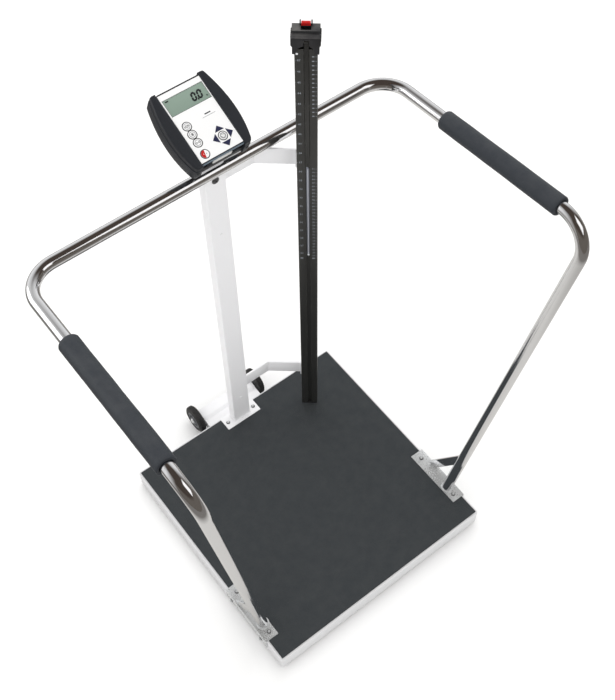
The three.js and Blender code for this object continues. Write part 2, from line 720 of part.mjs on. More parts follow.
function faceplate() {
  const half = FACE.wide / 2 - GAP;
  const high = FACE.high / 2;
  const sheet = plate(roundedRectangle(-half, -high, half, high, 2), -1.2, 0);
  const window = block(
    [LCD.x - LCD.wide / 2, LCD.y - LCD.high / 2, -5],
    [LCD.x + LCD.wide / 2, LCD.y + LCD.high / 2, 5],
  );
  const holes = ROUND_KEYS.map(([, x, y]) => rod([x, y, -5], [x, y, 5], KEY_R + 0.4, 24));
  const arrows = ARROW_KEYS.map(([, turn]) => plate(outline(triangle(turn, 0.4)), -5, 5));
  return cut(sheet, window, ...holes, ...arrows);
}

function lcdModule() {
  const half = FACE.wide / 2 - SHELL.wall - GAP;
  return block([-half, LCD.y - LCD.high / 2 - 2, -6.4], [half, LCD.y + LCD.high / 2 + 2, -1.5]);
}

function yoke() {
  const acrossFace = new THREE.Vector3(1, 0, 0);
  const pivot = new THREE.Vector3(0, PIVOT.y, PIVOT.z).applyAxisAngle(acrossFace, rad(FACE.slope));
  const y = FACE.y + pivot.y;
  const z = FACE.z + pivot.z;
  const base = COLUMN.top + GAP;
  const half = COLUMN.wide / 2;
  const foot = block([-half, COLUMN.front, base], [half, COLUMN.front + COLUMN.deep + 8, base + 3]);
  const ears = [-1, 1].map((s) => {
    const xs = [s * PIVOT.earX, s * (PIVOT.earX + 4)].sort((a, b) => a - b);
    const side = [
      [y - PIVOT.earR, base + 1], [y + PIVOT.earR, base + 1],
      [y + PIVOT.earR, z], [y - PIVOT.earR, z],
    ];
    return join(plateAlongX(side, ...xs), rod([xs[0], y, z], [xs[1], y, z], PIVOT.earR, 24));
  });
  const bore = rod([-60, y, z], [60, y, z], PIVOT.pinR + GAP, 20);
  return cut(join(foot, ...ears), bore);
}

// Each tilt knob is a fluted cap on its own half of the pivot pin.
function tiltKnob(side) {
  const start = PIVOT.lugX + 7 + GAP;
  const head = rod([side * start, PIVOT.y, PIVOT.z], [side * (start + 11), PIVOT.y, PIVOT.z], 7, 10);
  const pin = rod([side * 2, PIVOT.y, PIVOT.z], [side * (start + 2), PIVOT.y, PIVOT.z], PIVOT.pinR, 20);
  return join(head, pin);
}

function indicator() {
  add(root, "indicator_yoke", yoke(), BLACK);
  const group = new THREE.Group();
  group.position.set(0, FACE.y, FACE.z);
  group.rotation.x = rad(FACE.slope);
  root.add(group);
  add(group, "indicator_front_shell", frontShell(), SLATE);
  add(group, "indicator_rear_shell", rearShell(), BLACK);
  const side = bumper();
  add(group, "indicator_bumper_right", side, SLATE);
  add(group, "indicator_bumper_left", mirrorX(side), SLATE);
  add(group, "indicator_faceplate", faceplate(), FACE_WHITE);
  add(group, "lcd_module", lcdModule(), LCD_GREEN);
  add(group, "main_board", block([-42, -70, -9.4], [42, 16, -7.8]), BOARD_GREEN);
  add(group, "battery_pack", block([-38, -60, -36], [38, -2, -21.5]), BLACK);
  add(group, "tilt_knob_right", tiltKnob(1), BLACK);
  add(group, "tilt_knob_left", tiltKnob(-1), BLACK);
  for (const [name, x, y] of ROUND_KEYS) {
    const look = name === "key_power" ? RED : FACE_WHITE;
    add(group, name, rod([x, y, KEY_BOTTOM], [x, y, KEY_TOP], KEY_R, 24), look);
  }
  for (const [name, turn] of ARROW_KEYS) {
    add(group, name, plate(outline(triangle(turn, 0)), KEY_BOTTOM, KEY_TOP), NAVY);
  }
}

platform();
columnAssembly();
wheels();
handrailAssembly();
heightRod();
indicator();

export default root;
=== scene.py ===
"""Handrail scale: a low platform, a wrap-round rail, a display on a column and a telescopic height rod."""
from math import atan2, cos, pi, radians, sin, tan, tau

import bmesh
import bpy
from bpy.props import FloatProperty, FloatVectorProperty, IntProperty, PointerProperty
from mathutils import Euler, Matrix, Vector, noise


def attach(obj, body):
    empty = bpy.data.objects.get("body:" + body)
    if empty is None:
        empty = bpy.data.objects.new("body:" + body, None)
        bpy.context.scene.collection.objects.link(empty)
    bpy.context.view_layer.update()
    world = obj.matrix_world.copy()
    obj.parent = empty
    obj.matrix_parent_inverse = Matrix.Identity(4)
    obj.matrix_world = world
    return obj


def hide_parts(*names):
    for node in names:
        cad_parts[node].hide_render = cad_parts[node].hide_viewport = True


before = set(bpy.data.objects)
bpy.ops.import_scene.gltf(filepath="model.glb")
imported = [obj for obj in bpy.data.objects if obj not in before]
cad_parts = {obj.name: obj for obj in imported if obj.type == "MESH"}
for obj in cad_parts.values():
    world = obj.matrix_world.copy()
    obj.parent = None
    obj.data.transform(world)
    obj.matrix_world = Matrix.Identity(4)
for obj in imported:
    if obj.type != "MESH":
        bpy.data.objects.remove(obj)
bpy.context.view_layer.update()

bl_info = {
    "name": "Handrail scale",
    "version": (1, 0, 0),
    "blender": (4, 5, 0),
    "location": "View3D > Sidebar > Scale",
    "description": "Builds the pieces and the finishes of a handrail scale",
    "category": "Add Mesh",
}

MM = 0.001
GAP = 0.3
SIDES = (("left", -1), ("right", 1))

# Places, in millimetres
COLUMN_FRONT, COLUMN_BACK, COLUMN_HALF = 273.5, 299.0, 24.0
COLUMN_Y = (COLUMN_FRONT + COLUMN_BACK) / 2
LEG_FOOT = Vector((287, -206.5, 2.6))
FRONT_BEND = Vector((423.8, -294.1, 987))
BACK_BEND = Vector((419.7, 270.9, 944))
STRUT_FOOT = Vector((302, -137, 3))
STRUT_TOP_Z = 149
RAIL_PLATE = {"inner": 272.3, "outer": 308.3, "front": -247.2, "back": -85.8, "low": -38}
GRIP_FRONT, GRIP_BACK = -212, 95
WHEEL_X, WHEEL_Y, WHEEL_Z = 95, 353.6, -18.5
BRACKET_HALF, BRACKET_BACK, BRACKET_Y = 82, 364, 305.3
ARM_BEND_X, ARM_TURN, ROD_ALONG = 97.5, radians(-39.5), 107
BAR_LOW_Z, BAR_HIGH_Z, BAR_HIGH, BAR_THICK = 141, 910, 41, 5
ROD_HALF, ROD_FRONT, ROD_BACK, ROD_BOTTOM, ROD_TOP = 20, -33, -7.2, 20, 1206
CHANNEL_X, CHANNEL_HALF, CHANNEL_DEEP = 1, 4.5, 5.2
PIVOT_Y, PIVOT_Z, ARM_TIP_Z = -31, 1222, 915
HEAD_TOP, HEAD_FRONT, HEAD_BACK, BLOCK_FRONT = 1237, -38, -3, -23
FACE_HALF, FACE_HIGH, SHELL_HIGH, SHELL_BACK = 46, 73.5, 75, -40
TILT_Y, TILT_Z = -25, -48
WINDOW = (-42.5, 27.5, 43.5, 61.5)
DECK_LOW, FLOOR_Z = -52, -60
ENTER_KEY = (18.8, -46.5)
POWER_KEY = (-30, -60.5)
ROUND_KEYS = {"key_units": (-29.5, -0.3), "key_hold": (-29.5, -18.2), "key_zero": (-29.5, -36.1),
              "key_power": POWER_KEY, "key_enter": ENTER_KEY}
ARROW_KEYS = {"key_arrow_up": 0, "key_arrow_left": 90, "key_arrow_down": 180, "key_arrow_right": 270}
CORNERS = {"front_left": (-1, -1), "front_right": (1, -1), "rear_left": (-1, 1), "rear_right": (1, 1)}

# The camera: its place in metres and its turns about X, Y and Z in degrees
CAMERA_PLACE = (-0.70257, -0.94605, 2.4619)
CAMERA_ANGLES = (33.0727, 0.4074, -37.5898)

ROD_PLACE = Matrix.Translation((
    ARM_BEND_X + ROD_ALONG * cos(ARM_TURN), COLUMN_Y + ROD_ALONG * sin(ARM_TURN), 0,
)) @ Matrix.Rotation(ARM_TURN, 4, "Z")
FACE_PLACE = Matrix.Translation((0, 302, 1054)) @ Matrix.Rotation(radians(24), 4, "X")
MIRROR = Matrix.Scale(-1, 4, (1, 0, 0))
ALONG_X = Matrix.Rotation(pi / 2, 4, "Y")
ALONG_Y = Matrix.Rotation(-pi / 2, 4, "X")
FACING_FRONT = Matrix.Rotation(pi / 2, 4, "X")
UPSIDE_DOWN = Matrix.Rotation(pi, 4, "X")
UPRIGHT = Matrix(((1, 0, 0, 0), (0, 0, 1, 0), (0, 1, 0, 0), (0, 0, 0, 1)))
SIDEWAYS = Matrix(((0, 0, 1, 0), (1, 0, 0, 0), (0, 1, 0, 0), (0, 0, 0, 1)))


def at(x, y, z):
    """A move by millimetres."""
    return Matrix.Translation((x, y, z))


def aimed(start, heading):
    """A place at a point, with its Z axis along a heading."""
    return Matrix.Translation(start) @ heading.to_track_quat("Z", "Y").to_matrix().to_4x4()


def colour(name, text, hexadecimal):
    """A colour property whose default is given as a web colour."""
    parts = [int(hexadecimal[i:i + 2], 16) / 255 for i in (0, 2, 4)]
    linear = [c / 12.92 if c <= 0.04045 else ((c + 0.055) / 1.055) ** 2.4 for c in parts]
    return FloatVectorProperty(name=name, description=text, subtype="COLOR", size=3,
                               min=0, max=1, default=linear)


def length(name, text, millimetres, low=0.0):
    """A length property, stored in metres."""
    return FloatProperty(name=name, description=text, unit="LENGTH", subtype="DISTANCE",
                         min=low * MM, precision=4, default=millimetres * MM)


# ---- Sizes and colours ----
class FinishSettings(bpy.types.PropertyGroup):
    """Colours of the finishes."""
    white: colour("White paint", "Powder coat of the platform, column and brackets", "f5f5f7")
    mat: colour("Mat", "Rubber of the platform mat", "363a3d")
    zinc: colour("Zinc", "Foot plates and fasteners", "e2e4e5")
    chrome: colour("Chrome", "Handrail tube and struts", "e8e9ea")
    foam: colour("Foam", "Handrail grips", "30353c")
    tyre: colour("Tyre", "Wheel tyres", "232324")
    hub: colour("Hub", "Wheel hubs", "66686c")
    black: colour("Rod", "Anodised height rod", "282826")
    head: colour("Rod head", "Moulding on top of the rod", "232326")
    red: colour("Catch", "Release catch and half of the power key", "c01412")
    slate: colour("Display housing", "Bumpers and shells", "25282e")
    face: colour("Face", "Membrane of the display", "f1f1f1")
    navy: colour("Arrow keys", "Arrow keys and printed rings", "23264a")
    glass: colour("Display glass", "Liquid crystal background", "889a8e")


class PlatformSettings(bpy.types.PropertyGroup):
    """Sizes of the platform and its mat."""
    deck_side: length("Deck side", "Side of the square platform", 610, 100)
    deck_corner: length("Deck corner", "Radius of the platform's upright corners", 7)
    deck_edge: length("Deck edge", "Radius along the top edge", 2.2)
    deck_wall: length("Deck wall", "Sheet thickness", 2.5, 0.5)
    mat_side: length("Mat side", "Side of the rubber mat", 600, 100)
    mat_thick: length("Mat thickness", "Thickness of the rubber mat", 3, 1)
    bolt_radius: length("Bolt size", "Half the width of the foot plates' bolt heads", 3.6, 1)


class RailSettings(bpy.types.PropertyGroup):
    """Sizes of the handrail."""
    tube: length("Tube radius", "Outside radius of the chromed tube", 12.7, 5)
    bend: length("Bend radius", "Radius of the four bends", 68, 20)
    grip: length("Grip radius", "Outside radius of the foam grips", 20, 13)
    strut_wide: length("Strut width", "Width of the flat struts", 22, 5)
    strut_thick: length("Strut thickness", "Thickness of the flat struts", 6, 2)
    sides: IntProperty(name="Tube sides", description="Facets round the tube", default=48, min=12, max=96)


class WheelSettings(bpy.types.PropertyGroup):
    """Sizes of the wheels."""
    radius: length("Wheel radius", "Outside radius of the tyres", 37.5, 10)
    width: length("Wheel width", "Width of the tyres", 20, 5)
    ribs: IntProperty(name="Tread ribs", description="Ribs round each tyre", default=5, min=1, max=9)


class RodSettings(bpy.types.PropertyGroup):
    """Marks on the height rod."""
    numeral: length("Numeral height", "Height of the inch numerals", 4.7, 2)
    small_numeral: length("Small numeral height", "Height of the centimetre numerals", 3.9, 1)
    inch_low: length("Lowest inch mark", "Height of the lowest inch mark", 648, 100)
    centimetre_low: length("Lowest centimetre mark", "Height of the lowest centimetre mark", 640, 100)


class StageSettings(bpy.types.PropertyGroup):
    """Camera, floor and light."""
    focal: FloatProperty(name="Focal length", description="Lens of the camera in millimetres",
                         default=55.388, min=10)
    floor: colour("Floor", "Pale studio floor", "ffffff")
    key: FloatProperty(name="Key light", description="Power of the overhead light", unit="POWER",
                       default=32, min=0)


PROPERTY_GROUPS = {
    "finish": FinishSettings, "platform": PlatformSettings, "rail": RailSettings,
    "wheel": WheelSettings, "rod": RodSettings, "stage": StageSettings,
}


def sizes(group):
    """One group of the scene's settings."""
    return getattr(bpy.context.scene, "scale_" + group)


def mm(value):
    """A stored length in millimetres."""
    return value / MM


# ---- Shader node groups ----
def new_group(name, inputs, outputs):
    """An empty shader node group with its named inputs and outputs."""
    group = bpy.data.node_groups.new(name, "ShaderNodeTree")
    for label, kind, value in inputs:
        socket = group.interface.new_socket(label, in_out="INPUT", socket_type=kind)
        socket.default_value = value
    for label, kind in outputs:
        group.interface.new_socket(label, in_out="OUTPUT", socket_type=kind)
    return group, group.nodes.new("NodeGroupInput"), group.nodes.new("NodeGroupOutput")


def feed(tree, node, links):
    """Gives a node's inputs their values, or links them to other nodes' sockets."""
    for socket, source in links.items():
        if isinstance(source, bpy.types.NodeSocket):
            tree.links.new(source, node.inputs[socket])
        else:
            node.inputs[socket].default_value = source
    return node


def add_node(tree, kind, links=None, **values):
    """A node with its settings, its inputs' values and links to them."""
    node = tree.nodes.new("ShaderNode" + kind)
    for key, value in values.items():
        setattr(node, key, value)
    return feed(tree, node, links or {})


def grain_group():
    """Fine noise over the piece: a height for bump and a value for roughness."""
    group, given, out = new_group(
        "fine grain",
        [("Scale", "NodeSocketFloat", 900.0), ("Low", "NodeSocketFloat", 0.3),
         ("High", "NodeSocketFloat", 0.5)],
        [("Value", "NodeSocketFloat"), ("Height", "NodeSocketFloat")])
    place = add_node(group, "TexCoord")
    fine = add_node(group, "TexNoise", {"Vector": place.outputs["Object"], "Scale": given.outputs["Scale"],
                                        "Detail": 3.0, "Roughness": 0.6})
    broad = add_node(group, "TexNoise", {"Vector": place.outputs["Object"], "Scale": 14.0, "Detail": 4.0})
    both = add_node(group, "Math", {0: fine.outputs["Fac"], 1: broad.outputs["Fac"]}, operation="MULTIPLY")
    spread = add_node(group, "MapRange", {"Value": both.outputs[0], "From Min": 0.12, "From Max": 0.4,
                                          "To Min": given.outputs["Low"], "To Max": given.outputs["High"]})
    group.links.new(spread.outputs[0], out.inputs["Value"])
    group.links.new(fine.outputs["Fac"], out.inputs["Height"])
    return group


def drift_group():
    """A colour that drifts a little from place to place and carries fine specks."""
    group, given, out = new_group(
        "colour drift",
        [("Colour", "NodeSocketColor", (0.5, 0.5, 0.5, 1)), ("Drift", "NodeSocketFloat", 0.1),
         ("Size", "NodeSocketFloat", 9.0), ("Specks", "NodeSocketFloat", 0.05),
         ("Speck Scale", "NodeSocketFloat", 700.0)],
        [("Colour", "NodeSocketColor")])
    place = add_node(group, "TexCoord")
    broad = add_node(group, "TexNoise", {"Vector": place.outputs["Object"], "Scale": given.outputs["Size"],
                                         "Detail": 5.0, "Roughness": 0.55})
    fine = add_node(group, "TexNoise", {"Vector": place.outputs["Object"],
                                        "Scale": given.outputs["Speck Scale"], "Detail": 1.0})
    drifted = add_node(group, "Math", {0: broad.outputs["Fac"], 1: 0.5}, operation="SUBTRACT")
    drifted = add_node(group, "Math", {0: drifted.outputs[0], 1: given.outputs["Drift"]},
                       operation="MULTIPLY")
    specked = add_node(group, "Math", {0: fine.outputs["Fac"], 1: 0.5}, operation="SUBTRACT")
    specked = add_node(group, "Math", {0: specked.outputs[0], 1: given.outputs["Specks"]},
                       operation="MULTIPLY")
    total = add_node(group, "Math", {0: drifted.outputs[0], 1: specked.outputs[0]}, operation="ADD")
    value = add_node(group, "Math", {0: total.outputs[0], 1: 1.0}, operation="ADD")
    shade = add_node(group, "HueSaturation", {"Color": given.outputs["Colour"], "Value": value.outputs[0]})
    group.links.new(shade.outputs[0], out.inputs["Colour"])
    return group


def wear_group():
    """A mask that is 1 along outside edges, broken up by noise."""
    group, given, out = new_group(
        "edge wear", [("Radius", "NodeSocketFloat", 0.002), ("Scale", "NodeSocketFloat", 60.0)],
        [("Mask", "NodeSocketFloat")])
    place = add_node(group, "TexCoord")
    facing = add_node(group, "NewGeometry")
    rounded = add_node(group, "Bevel", {"Radius": given.outputs["Radius"]}, samples=4)
    alike = add_node(group, "VectorMath", {0: facing.outputs["Normal"], 1: rounded.outputs[0]},
                     operation="DOT_PRODUCT")
    edge = add_node(group, "MapRange", {"Value": alike.outputs["Value"], "From Min": 0.995, "From Max": 0.85})
    spots = add_node(group, "TexNoise", {"Vector": place.outputs["Object"], "Scale": given.outputs["Scale"],
                                         "Detail": 6.0, "Roughness": 0.7})
    broken = add_node(group, "MapRange", {"Value": spots.outputs["Fac"], "From Min": 0.5, "From Max": 0.68})
    mask = add_node(group, "Math", {0: edge.outputs[0], 1: broken.outputs[0]}, operation="MULTIPLY")
    group.links.new(mask.outputs[0], out.inputs["Mask"])
    return group


def dust_group():
    """A thin film of dust on what faces up."""
    group, given, out = new_group(
        "dust", [("Amount", "NodeSocketFloat", 0.1), ("Scale", "NodeSocketFloat", 30.0)],
        [("Mask", "NodeSocketFloat")])
    place = add_node(group, "TexCoord")
    facing = add_node(group, "NewGeometry")
    split = add_node(group, "SeparateXYZ", {0: facing.outputs["Normal"]})
    up = add_node(group, "MapRange", {"Value": split.outputs["Z"], "From Min": 0.2, "From Max": 1.0})
    film = add_node(group, "TexNoise", {"Vector": place.outputs["Object"], "Scale": given.outputs["Scale"],
                                        "Detail": 8.0, "Roughness": 0.7})
    film = add_node(group, "MapRange", {"Value": film.outputs["Fac"], "From Min": 0.35, "From Max": 0.75})
    mask = add_node(group, "Math", {0: up.outputs[0], 1: film.outputs[0]}, operation="MULTIPLY")
    mask = add_node(group, "Math", {0: mask.outputs[0], 1: given.outputs["Amount"]}, operation="MULTIPLY")
    group.links.new(mask.outputs[0], out.inputs["Mask"])
    return group


GROUP_MAKERS = {"fine grain": grain_group, "colour drift": drift_group,
                "edge wear": wear_group, "dust": dust_group}


def use_group(tree, name, links):
    """A node that holds one of the shared groups, built the first time it is asked for."""
    node = tree.nodes.new("ShaderNodeGroup")
    node.node_tree = bpy.data.node_groups.get(name) or GROUP_MAKERS[name]()
    return feed(tree, node, links)


def rgba(rgb, share=1.0):
    """Four numbers for a colour socket."""
    return (*[min(1.0, c * share) for c in rgb], 1.0)


# ---- Finishes ----
def finish(name, tint, rough, metallic=0.0, grain=(900, 0.15, 0.00008), drift=(0.08, 9, 0.04, 700),
           wear=None, dusty=0.0, rounded=0.0, cells=None, brushed=None, coat=0.0, specular=0.5):
    """A procedural finish. rough is (low, high); grain is (scale, strength, distance)."""
    made = bpy.data.materials.get(name)
    if made:
        return made
    made = bpy.data.materials.new(name)
    made.use_nodes = True
    tree = made.node_tree
    shader = tree.nodes["Principled BSDF"]
    shader.inputs["Metallic"].default_value = metallic
    shader.inputs["Specular IOR Level"].default_value = specular
    shader.inputs["Coat Weight"].default_value = coat
    shader.inputs["Coat Roughness"].default_value = 0.08
    made.diffuse_color = rgba(tint)
    noise_of = use_group(tree, "fine grain", {"Scale": grain[0], "Low": rough[0], "High": rough[1]})
    tone = use_group(tree, "colour drift", {"Colour": rgba(tint), "Drift": drift[0], "Size": drift[1],
                                            "Specks": drift[2], "Speck Scale": drift[3]})
    paint = tone.outputs[0]
    if wear:
        worn = use_group(tree, "edge wear", {"Radius": wear[1], "Scale": 60.0})
        paint = add_node(tree, "Mix", {"Factor": worn.outputs[0], 6: paint, 7: rgba(wear[0])},
                         data_type="RGBA").outputs[2]
    if dusty:
        film = use_group(tree, "dust", {"Amount": dusty, "Scale": 30.0})
        paint = add_node(tree, "Mix", {"Factor": film.outputs[0], 6: paint, 7: (0.42, 0.4, 0.37, 1)},
                         data_type="RGBA").outputs[2]
    tree.links.new(paint, shader.inputs["Base Color"])
    tree.links.new(noise_of.outputs["Value"], shader.inputs["Roughness"])
    height = noise_of.outputs["Height"]
    if cells or brushed:
        place = add_node(tree, "TexCoord")
        stretched = add_node(tree, "Mapping", {"Vector": place.outputs["Object"],
                                               "Scale": brushed or (1, 1, 1)})
        if cells:
            pattern = add_node(tree, "TexVoronoi", {"Vector": stretched.outputs[0], "Scale": cells[0]},
                               feature=cells[1])
            height = add_node(tree, "Math", {0: height, 1: pattern.outputs["Distance"]},
                              operation="ADD").outputs[0]
        else:
            pattern = add_node(tree, "TexNoise",
                               {"Vector": stretched.outputs[0], "Scale": 40.0, "Detail": 2.0})
            height = add_node(tree, "Math", {0: height, 1: pattern.outputs["Fac"]},
                              operation="ADD").outputs[0]
    bump = add_node(tree, "Bump", {"Height": height, "Strength": grain[1], "Distance": grain[2]})
    if rounded:
        soft = add_node(tree, "Bevel", {"Radius": rounded * MM}, samples=4)
        tree.links.new(soft.outputs[0], bump.inputs["Normal"])
    tree.links.new(bump.outputs[0], shader.inputs["Normal"])
    return made


def white_paint():
    c = sizes("finish").white
    return finish("white powder coat", c, (0.34, 0.46), grain=(1500, 0.12, 0.0001),
                  drift=(0.05, 5, 0.015, 900),
                  wear=((0.55, 0.55, 0.54), 0.0012), dusty=0.05, rounded=0.8, specular=0.45)


# The platform's white is the powder coat darkened to 0.8: a shaded copy of the same paint, painted shade on
# the deck's top and sides.
def tray_paint():
    c = [0.8 * part for part in sizes("finish").white]
    return finish("platform powder coat with painted shade", c, (0.34, 0.46), grain=(1500, 0.12, 0.0001),
                  drift=(0.05, 5, 0.015, 900), wear=((0.5, 0.5, 0.49), 0.0012), dusty=0.05, specular=0.45)


def mat_rubber():
    return finish("mat rubber", sizes("finish").mat, (0.72, 0.9), grain=(420, 0.55, 0.0006),
                  drift=(0.05, 6, 0.35, 520), dusty=0.03, cells=(700, "F1"), specular=0.35)


def zinc():
    return finish("zinc plate", sizes("finish").zinc, (0.2, 0.4), 0.55, grain=(300, 0.14, 0.0002),
                  drift=(0.4, 30, 0.05, 260), brushed=(14, 1.2, 14), rounded=0.5)


def bright_zinc():
    return finish("zinc fastener", sizes("finish").zinc, (0.2, 0.4), 0.5, grain=(600, 0.1, 0.0001),
                  drift=(0.2, 60, 0.1, 500))


def weld():
    return finish("weld bead", sizes("finish").zinc, (0.25, 0.5), 0.35, grain=(500, 0.5, 0.0005),
                  drift=(0.6, 90, 0.2, 400))


def chrome():
    return finish("chrome", sizes("finish").chrome, (0.035, 0.09), 1.0, grain=(180, 0.03, 0.00008),
                  drift=(0.05, 12, 0.02, 600))


def foam():
    return finish("grip foam", sizes("finish").foam, (0.42, 0.62), grain=(1300, 0.5, 0.0004),
                  drift=(0.14, 14, 0.22, 1500), cells=(1700, "F1"), dusty=0.06, specular=0.4)


def tyre_rubber():
    return finish("tyre rubber", sizes("finish").tyre, (0.5, 0.75), grain=(900, 0.3, 0.0002),
                  drift=(0.3, 20, 0.15, 800), dusty=0.22)


def hub_plastic():
    return finish("hub plastic", sizes("finish").hub, (0.35, 0.55), grain=(1400, 0.2, 0.0001), dusty=0.08)


def anodised():
    return finish("black anodised", sizes("finish").black, (0.3, 0.44), 0.2, specular=0.95,
                  grain=(900, 0.1, 0.0001),
                  drift=(0.2, 7, 0.12, 900), wear=((0.3, 0.29, 0.27), 0.0006), brushed=(12, 12, 0.4),
                  rounded=0.5)


def head_plastic():
    return finish("head moulding", sizes("finish").head, (0.42, 0.6), grain=(1600, 0.3, 0.0002),
                  drift=(0.2, 25, 0.15, 1200), dusty=0.16, rounded=1.0)


def red_plastic():
    return finish("red plastic", sizes("finish").red, (0.3, 0.45), grain=(1200, 0.12, 0.0001),
                  drift=(0.1, 40, 0.05, 900))


def slate_plastic():
    return finish("slate plastic", sizes("finish").slate, (0.4, 0.56), grain=(1700, 0.35, 0.0002),
                  drift=(0.1, 16, 0.12, 1500), cells=(1500, "F1"), rounded=0.6, specular=0.5)


def black_plastic():
    return finish("black plastic and painted shade", (0.014, 0.014, 0.016), (0.4, 0.6), grain=(1500, 0.3, 0.0002),
                  drift=(0.2, 20, 0.1, 900), rounded=0.6)


def lip_plastic():
    return finish("lip plastic", (0.13, 0.17, 0.21), (0.35, 0.5), grain=(1500, 0.2, 0.0001))


def face_film():
    return finish("face film", sizes("finish").face, (0.3, 0.4), grain=(2200, 0.15, 0.00005),
                  drift=(0.02, 12, 0.02, 1500), coat=0.15)


def glass():
    return finish("display glass", sizes("finish").glass, (0.1, 0.18), grain=(400, 0.02, 0.00005),
                  drift=(0.08, 18, 0.03, 2200), coat=0.1)


def navy_print():
    return finish("navy print", sizes("finish").navy, (0.35, 0.5), grain=(1800, 0.1, 0.00005))


def dark_print():
    return finish("dark print and painted shade", (0.012, 0.013, 0.016), (0.3, 0.45), grain=(1800, 0.1, 0.00005))


def grey_print():
    return finish("grey print", (0.12, 0.125, 0.14), (0.4, 0.5), grain=(1800, 0.1, 0.00005))


def rod_print():
    return finish("rod print", (0.31, 0.34, 0.38), (0.45, 0.6), grain=(1500, 0.1, 0.00005),
                  drift=(0.25, 60, 0.2, 1200))


def white_dot():
    return finish("white enamel and painted highlight", (0.85, 0.87, 0.9), (0.3, 0.4), grain=(1500, 0.1, 0.00005))


def strip_print():
    return finish("channel strip", (0.3, 0.32, 0.38), (0.3, 0.45), 0.6, grain=(1200, 0.1, 0.00005),
                  brushed=(20, 20, 0.5))


def steel():
    return finish("bare steel", (0.24, 0.245, 0.25), (0.35, 0.55), 1.0, grain=(300, 0.2, 0.0003),
                  drift=(0.3, 15, 0.15, 400), rounded=0.8)


def aluminium():
    return finish("cell aluminium", (0.55, 0.56, 0.57), (0.3, 0.42), 1.0, brushed=(0.5, 20, 20), rounded=0.6)


def box_grey():
    return finish("box plastic", (0.22, 0.23, 0.235), (0.45, 0.6), grain=(1300, 0.3, 0.0002), rounded=0.8)


def board_green():
    return finish("board lacquer", (0.02, 0.11, 0.05), (0.3, 0.45), grain=(900, 0.1, 0.0001), rounded=0.3)


def top_plastic():
    return finish("head top", (0.035, 0.036, 0.038), (0.45, 0.6), grain=(1600, 0.3, 0.0002), dusty=0.25)


def plate_light():
    return finish("light end plate", (0.72, 0.72, 0.71), (0.35, 0.5), 0.1, grain=(1200, 0.15, 0.0001))


# ---- Shapes: each is a bmesh in millimetres ----
def verts_in(geometry):
    return [g for g in geometry if isinstance(g, bmesh.types.BMVert)]


def round_edges(shape, edges, radius, segments):
    bmesh.ops.bevel(shape, geom=edges, offset=radius, offset_type="OFFSET", segments=segments,
                    profile=0.5, affect="EDGES", material=-1, clamp_overlap=True)


def soften(shape, radius, segments=3, above=30):
    """Rounds the edges that are sharper than an angle in degrees."""
    bmesh.ops.recalc_face_normals(shape, faces=shape.faces)
    limit = radians(above)
    edges = [e for e in shape.edges if len(e.link_faces) == 2 and e.calc_face_angle() > limit]
    round_edges(shape, edges, radius, segments)
    return shape


def box(low, high, radius=0.0, segments=3):
    """A block between two corners, with rounded edges."""
    low, high = Vector(low), Vector(high)
    shape = bmesh.new()
    bmesh.ops.create_cube(shape, size=1.0)
    bmesh.ops.scale(shape, vec=high - low, verts=shape.verts)
    bmesh.ops.translate(shape, vec=(low + high) / 2, verts=shape.verts)
    return soften(shape, radius, segments) if radius else shape


def raise_faces(shape, high):
    raised = bmesh.ops.extrude_face_region(shape, geom=shape.faces[:])["geom"]
    bmesh.ops.translate(shape, vec=(0, 0, high), verts=verts_in(raised))


def slab(points, z0, z1, corner=0.0, edge=0.0, segments=3, corner_segments=6):
    """A flat outline raised from z0 to z1, its upright corners and its rims rounded."""
    shape = bmesh.new()
    shape.faces.new([shape.verts.new((x, y, z0)) for x, y in points])
    raise_faces(shape, z1 - z0)
    if corner:
        upright = [e for e in shape.edges if abs(e.verts[0].co.z - e.verts[1].co.z) > abs(z1 - z0) / 2]
        round_edges(shape, upright, corner, corner_segments)
    return soften(shape, edge, segments, 50) if edge else shape


def oblong(x0, y0, x1, y1):
    return [(x0, y0), (x1, y0), (x1, y1), (x0, y1)]


def round_points(x, y, radius, count=48):
    return [(x + radius * cos(tau * i / count), y + radius * sin(tau * i / count)) for i in range(count)]


def pierced(outline, holes, z0, z1):
    """A flat sheet with holes, raised from z0 to z1."""
    shape = bmesh.new()
    edges = []
    for points in [outline, *holes]:
        loop = [shape.verts.new((x, y, z0)) for x, y in points]
        edges += [shape.edges.new(pair) for pair in zip(loop, loop[1:] + loop[:1])]
    bmesh.ops.triangle_fill(shape, edges=edges, use_beauty=True)
    raise_faces(shape, z1 - z0)
    return shape


def turned(profile, segments=48):
    """A profile of (radius, height) spun about the Z axis."""
    shape = bmesh.new()
    line = [shape.verts.new((r, 0, z)) for r, z in profile]
    edges = [shape.edges.new(pair) for pair in zip(line, line[1:])]
    bmesh.ops.spin(shape, geom=line + edges, cent=(0, 0, 0), axis=(0, 0, 1), dvec=(0, 0, 0), angle=tau,
                   steps=segments, use_merge=True, use_normal_flip=False, use_duplicate=False)
    bmesh.ops.remove_doubles(shape, verts=shape.verts, dist=1e-4)
    return shape


def disc(radius, z0, z1, edge=0.0, segments=40):
    """A round plate with rounded rims."""
    shape = turned([(0, z0), (radius, z0), (radius, z1), (0, z1)], segments)
    return soften(shape, edge, 3, 50) if edge else shape


def hollow_disc(outer, inner, z0, z1, segments=48):
    return turned([(inner, z0), (outer, z0), (outer, z1), (inner, z1), (inner, z0)], segments)


def bar(start, end, radius, edge=0.0, segments=32):
    """A round bar between two points."""
    start, end = Vector(start), Vector(end)
    shape = disc(radius, 0, (end - start).length, edge, segments)
    bmesh.ops.transform(shape, matrix=aimed(start, end - start), verts=shape.verts)
    return shape


